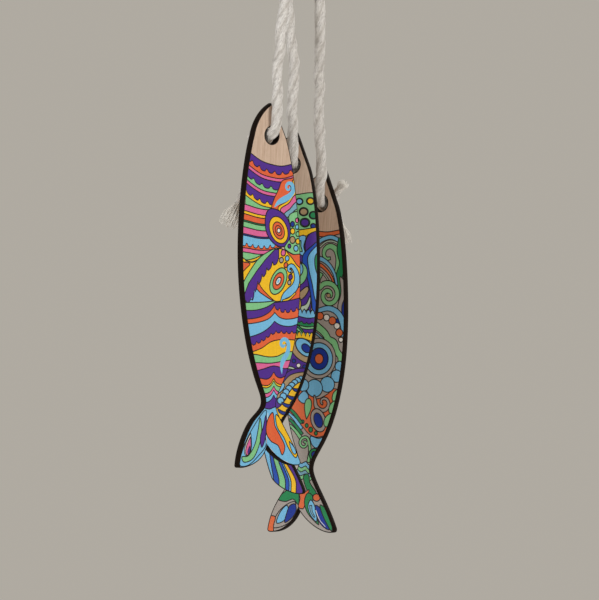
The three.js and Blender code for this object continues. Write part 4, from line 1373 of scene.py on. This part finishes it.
# the arm: straight out from the plate, round a bend and up to its ball tip
arm = [Vector((0, -4.3 - 2 * i, 0)) for i in range(23)]
arm += [Vector((0, -50 - 8 * (2 * (1 - t) * t + t * t), 8 * t * t))
        for t in (i / 16 for i in range(17))]
arm += [Vector((0, -58, z)) for z in (10, 12, 14, 16)]
ball = [(max(0.15, BALL * math.sin(math.pi * i / 20)), -BALL * math.cos(math.pi * i / 20))
        for i in range(21)]
collar = [(6.4, 0), (7, 0.35), (7, 1.2), (6.7, 1.6), (5.2, 2.2), (4.4, 2.9), (ARM, 3.6),
          (3.3, 3.6)]
joined("hook_arm_rod", [rod(arm, ARM), lathe(ball, 32, Matrix.Translation(arm[-1])),
                        lathe(collar, 40, Matrix.Translation(arm[0]) @ FORWARD)],
       STEEL, "hook_steel", "hook", "hook_arm")

screw_head = [(1.9, 0.3), (1.9, 4.25), (4.0, 4.3), (4.2, 4.55), (4.15, 5.0), (3.8, 5.6), (3.1, 6.1),
              (2.2, 6.4), (0.3, 6.5)]
BOX = [(3, 2, 1, 0), (4, 5, 6, 7), (0, 1, 5, 4), (1, 2, 6, 5), (2, 3, 7, 6), (3, 0, 4, 7)]
for end, height, spin in (("upper", SCREW_Z, 18), ("lower", -SCREW_Z, 52)):
    place = Matrix.Translation((0, 0, height)) @ FORWARD
    screw = joined(f"hook_screw_{end}_head", [lathe(screw_head, 36, place)], ZINC, "screw_zinc",
                   "hook", f"hook_screw_{end}")
    cutters = []
    for i, turn in enumerate((0, 90)):  # the two bars of the cross recess, wider at the top
        turned = (place @ Matrix.Rotation(math.radians(spin), 4, "Z")
                  @ Matrix.Rotation(math.radians(turn), 4, "Z"))
        bar = [turned @ Vector((x, y, z)) for z, k in ((5.2, 0.55), (7, 1)) for x, y in
               ((-2.3 * k, -0.36), (2.3 * k, -0.36), (2.3 * k, 0.36), (-2.3 * k, 0.36))]
        cutters.append(mesh_object(f"recess_{end}_{i}", bar, BOX, [ZINC], None, [False] * len(BOX)))
        cut = screw.modifiers.new(f"recess_{i}", "BOOLEAN")
        cut.operation = "DIFFERENCE"
        cut.solver = "EXACT"
        cut.object = cutters[-1]
    bpy.context.view_layer.update()
    graph = bpy.context.evaluated_depsgraph_get()
    done = bpy.data.meshes.new_from_object(screw.evaluated_get(graph),
                                           preserve_all_data_layers=True, depsgraph=graph)
    screw.modifiers.clear()
    screw.data = done
    screw.data.set_sharp_from_angle(angle=SHARP)
    for cutter in cutters:
        bpy.data.objects.remove(cutter)


# ---------------------------------------------------------------- floor, light and camera

floor_mesh = bpy.data.meshes.new("floor")
disc = ring(1.6, 96)
floor_mesh.from_pydata([(x, y, -0.62) for x, y in disc], [], [tuple(range(len(disc)))])
floor = bpy.data.objects.new("floor", floor_mesh)
bpy.context.scene.collection.objects.link(floor)
floor_mesh.materials.append(Surface("pale floor").made(
    {"Base Color": (0.72, 0.70, 0.67, 1), "Roughness": 0.8}))

world = bpy.data.worlds.new("studio")
bpy.context.scene.world = world
world.use_nodes = True
background = world.node_tree.nodes["Background"]
background.inputs["Color"].default_value = (0.60, 0.56, 0.495, 1)
background.inputs["Strength"].default_value = 0.72

MIDDLE = Vector((0, -0.05, -0.22))  # of the object, in metres


def lamp(name, at, size, power, colour):
    """A round soft lamp aimed at the middle of the object."""
    data = bpy.data.lights.new(name, "AREA")
    data.shape = "DISK"
    data.size = size
    data.energy = power
    data.color = colour
    ob = bpy.data.objects.new(name, data)
    ob.location = at
    ob.rotation_euler = (MIDDLE - Vector(at)).to_track_quat("-Z", "Y").to_euler()
    bpy.context.scene.collection.objects.link(ob)


lamp("key", (1.3, -1.5, 0.55), 0.9, 20, (1.0, 0.98, 0.95))
lamp("fill", (-1.5, -1.6, 0.1), 1.4, 18, (0.97, 0.985, 1.0))
lamp("back", (0.6, 1.6, 0.7), 1.2, 9, (1.0, 0.99, 0.97))

bpy.context.scene.view_settings.view_transform = "Standard"

camera_data = bpy.data.cameras.new("camera")
camera = bpy.data.objects.new("camera", camera_data)
bpy.context.scene.collection.objects.link(camera)
bpy.context.scene.camera = camera
DISTANCE = 3.5  # from the picture plane, which stands 50 mm in front of the wall
WIDTH = 0.3444  # of the view there
SENSOR = 36
camera.location = (-0.00029, -0.05 - DISTANCE, -0.23575)
camera.rotation_euler = (math.radians(90), 0, 0)
camera_data.sensor_fit = "HORIZONTAL"
camera_data.sensor_width = SENSOR
camera_data.lens = SENSOR * DISTANCE / WIDTH
camera_data.clip_start = 0.05
camera_data.clip_end = 50
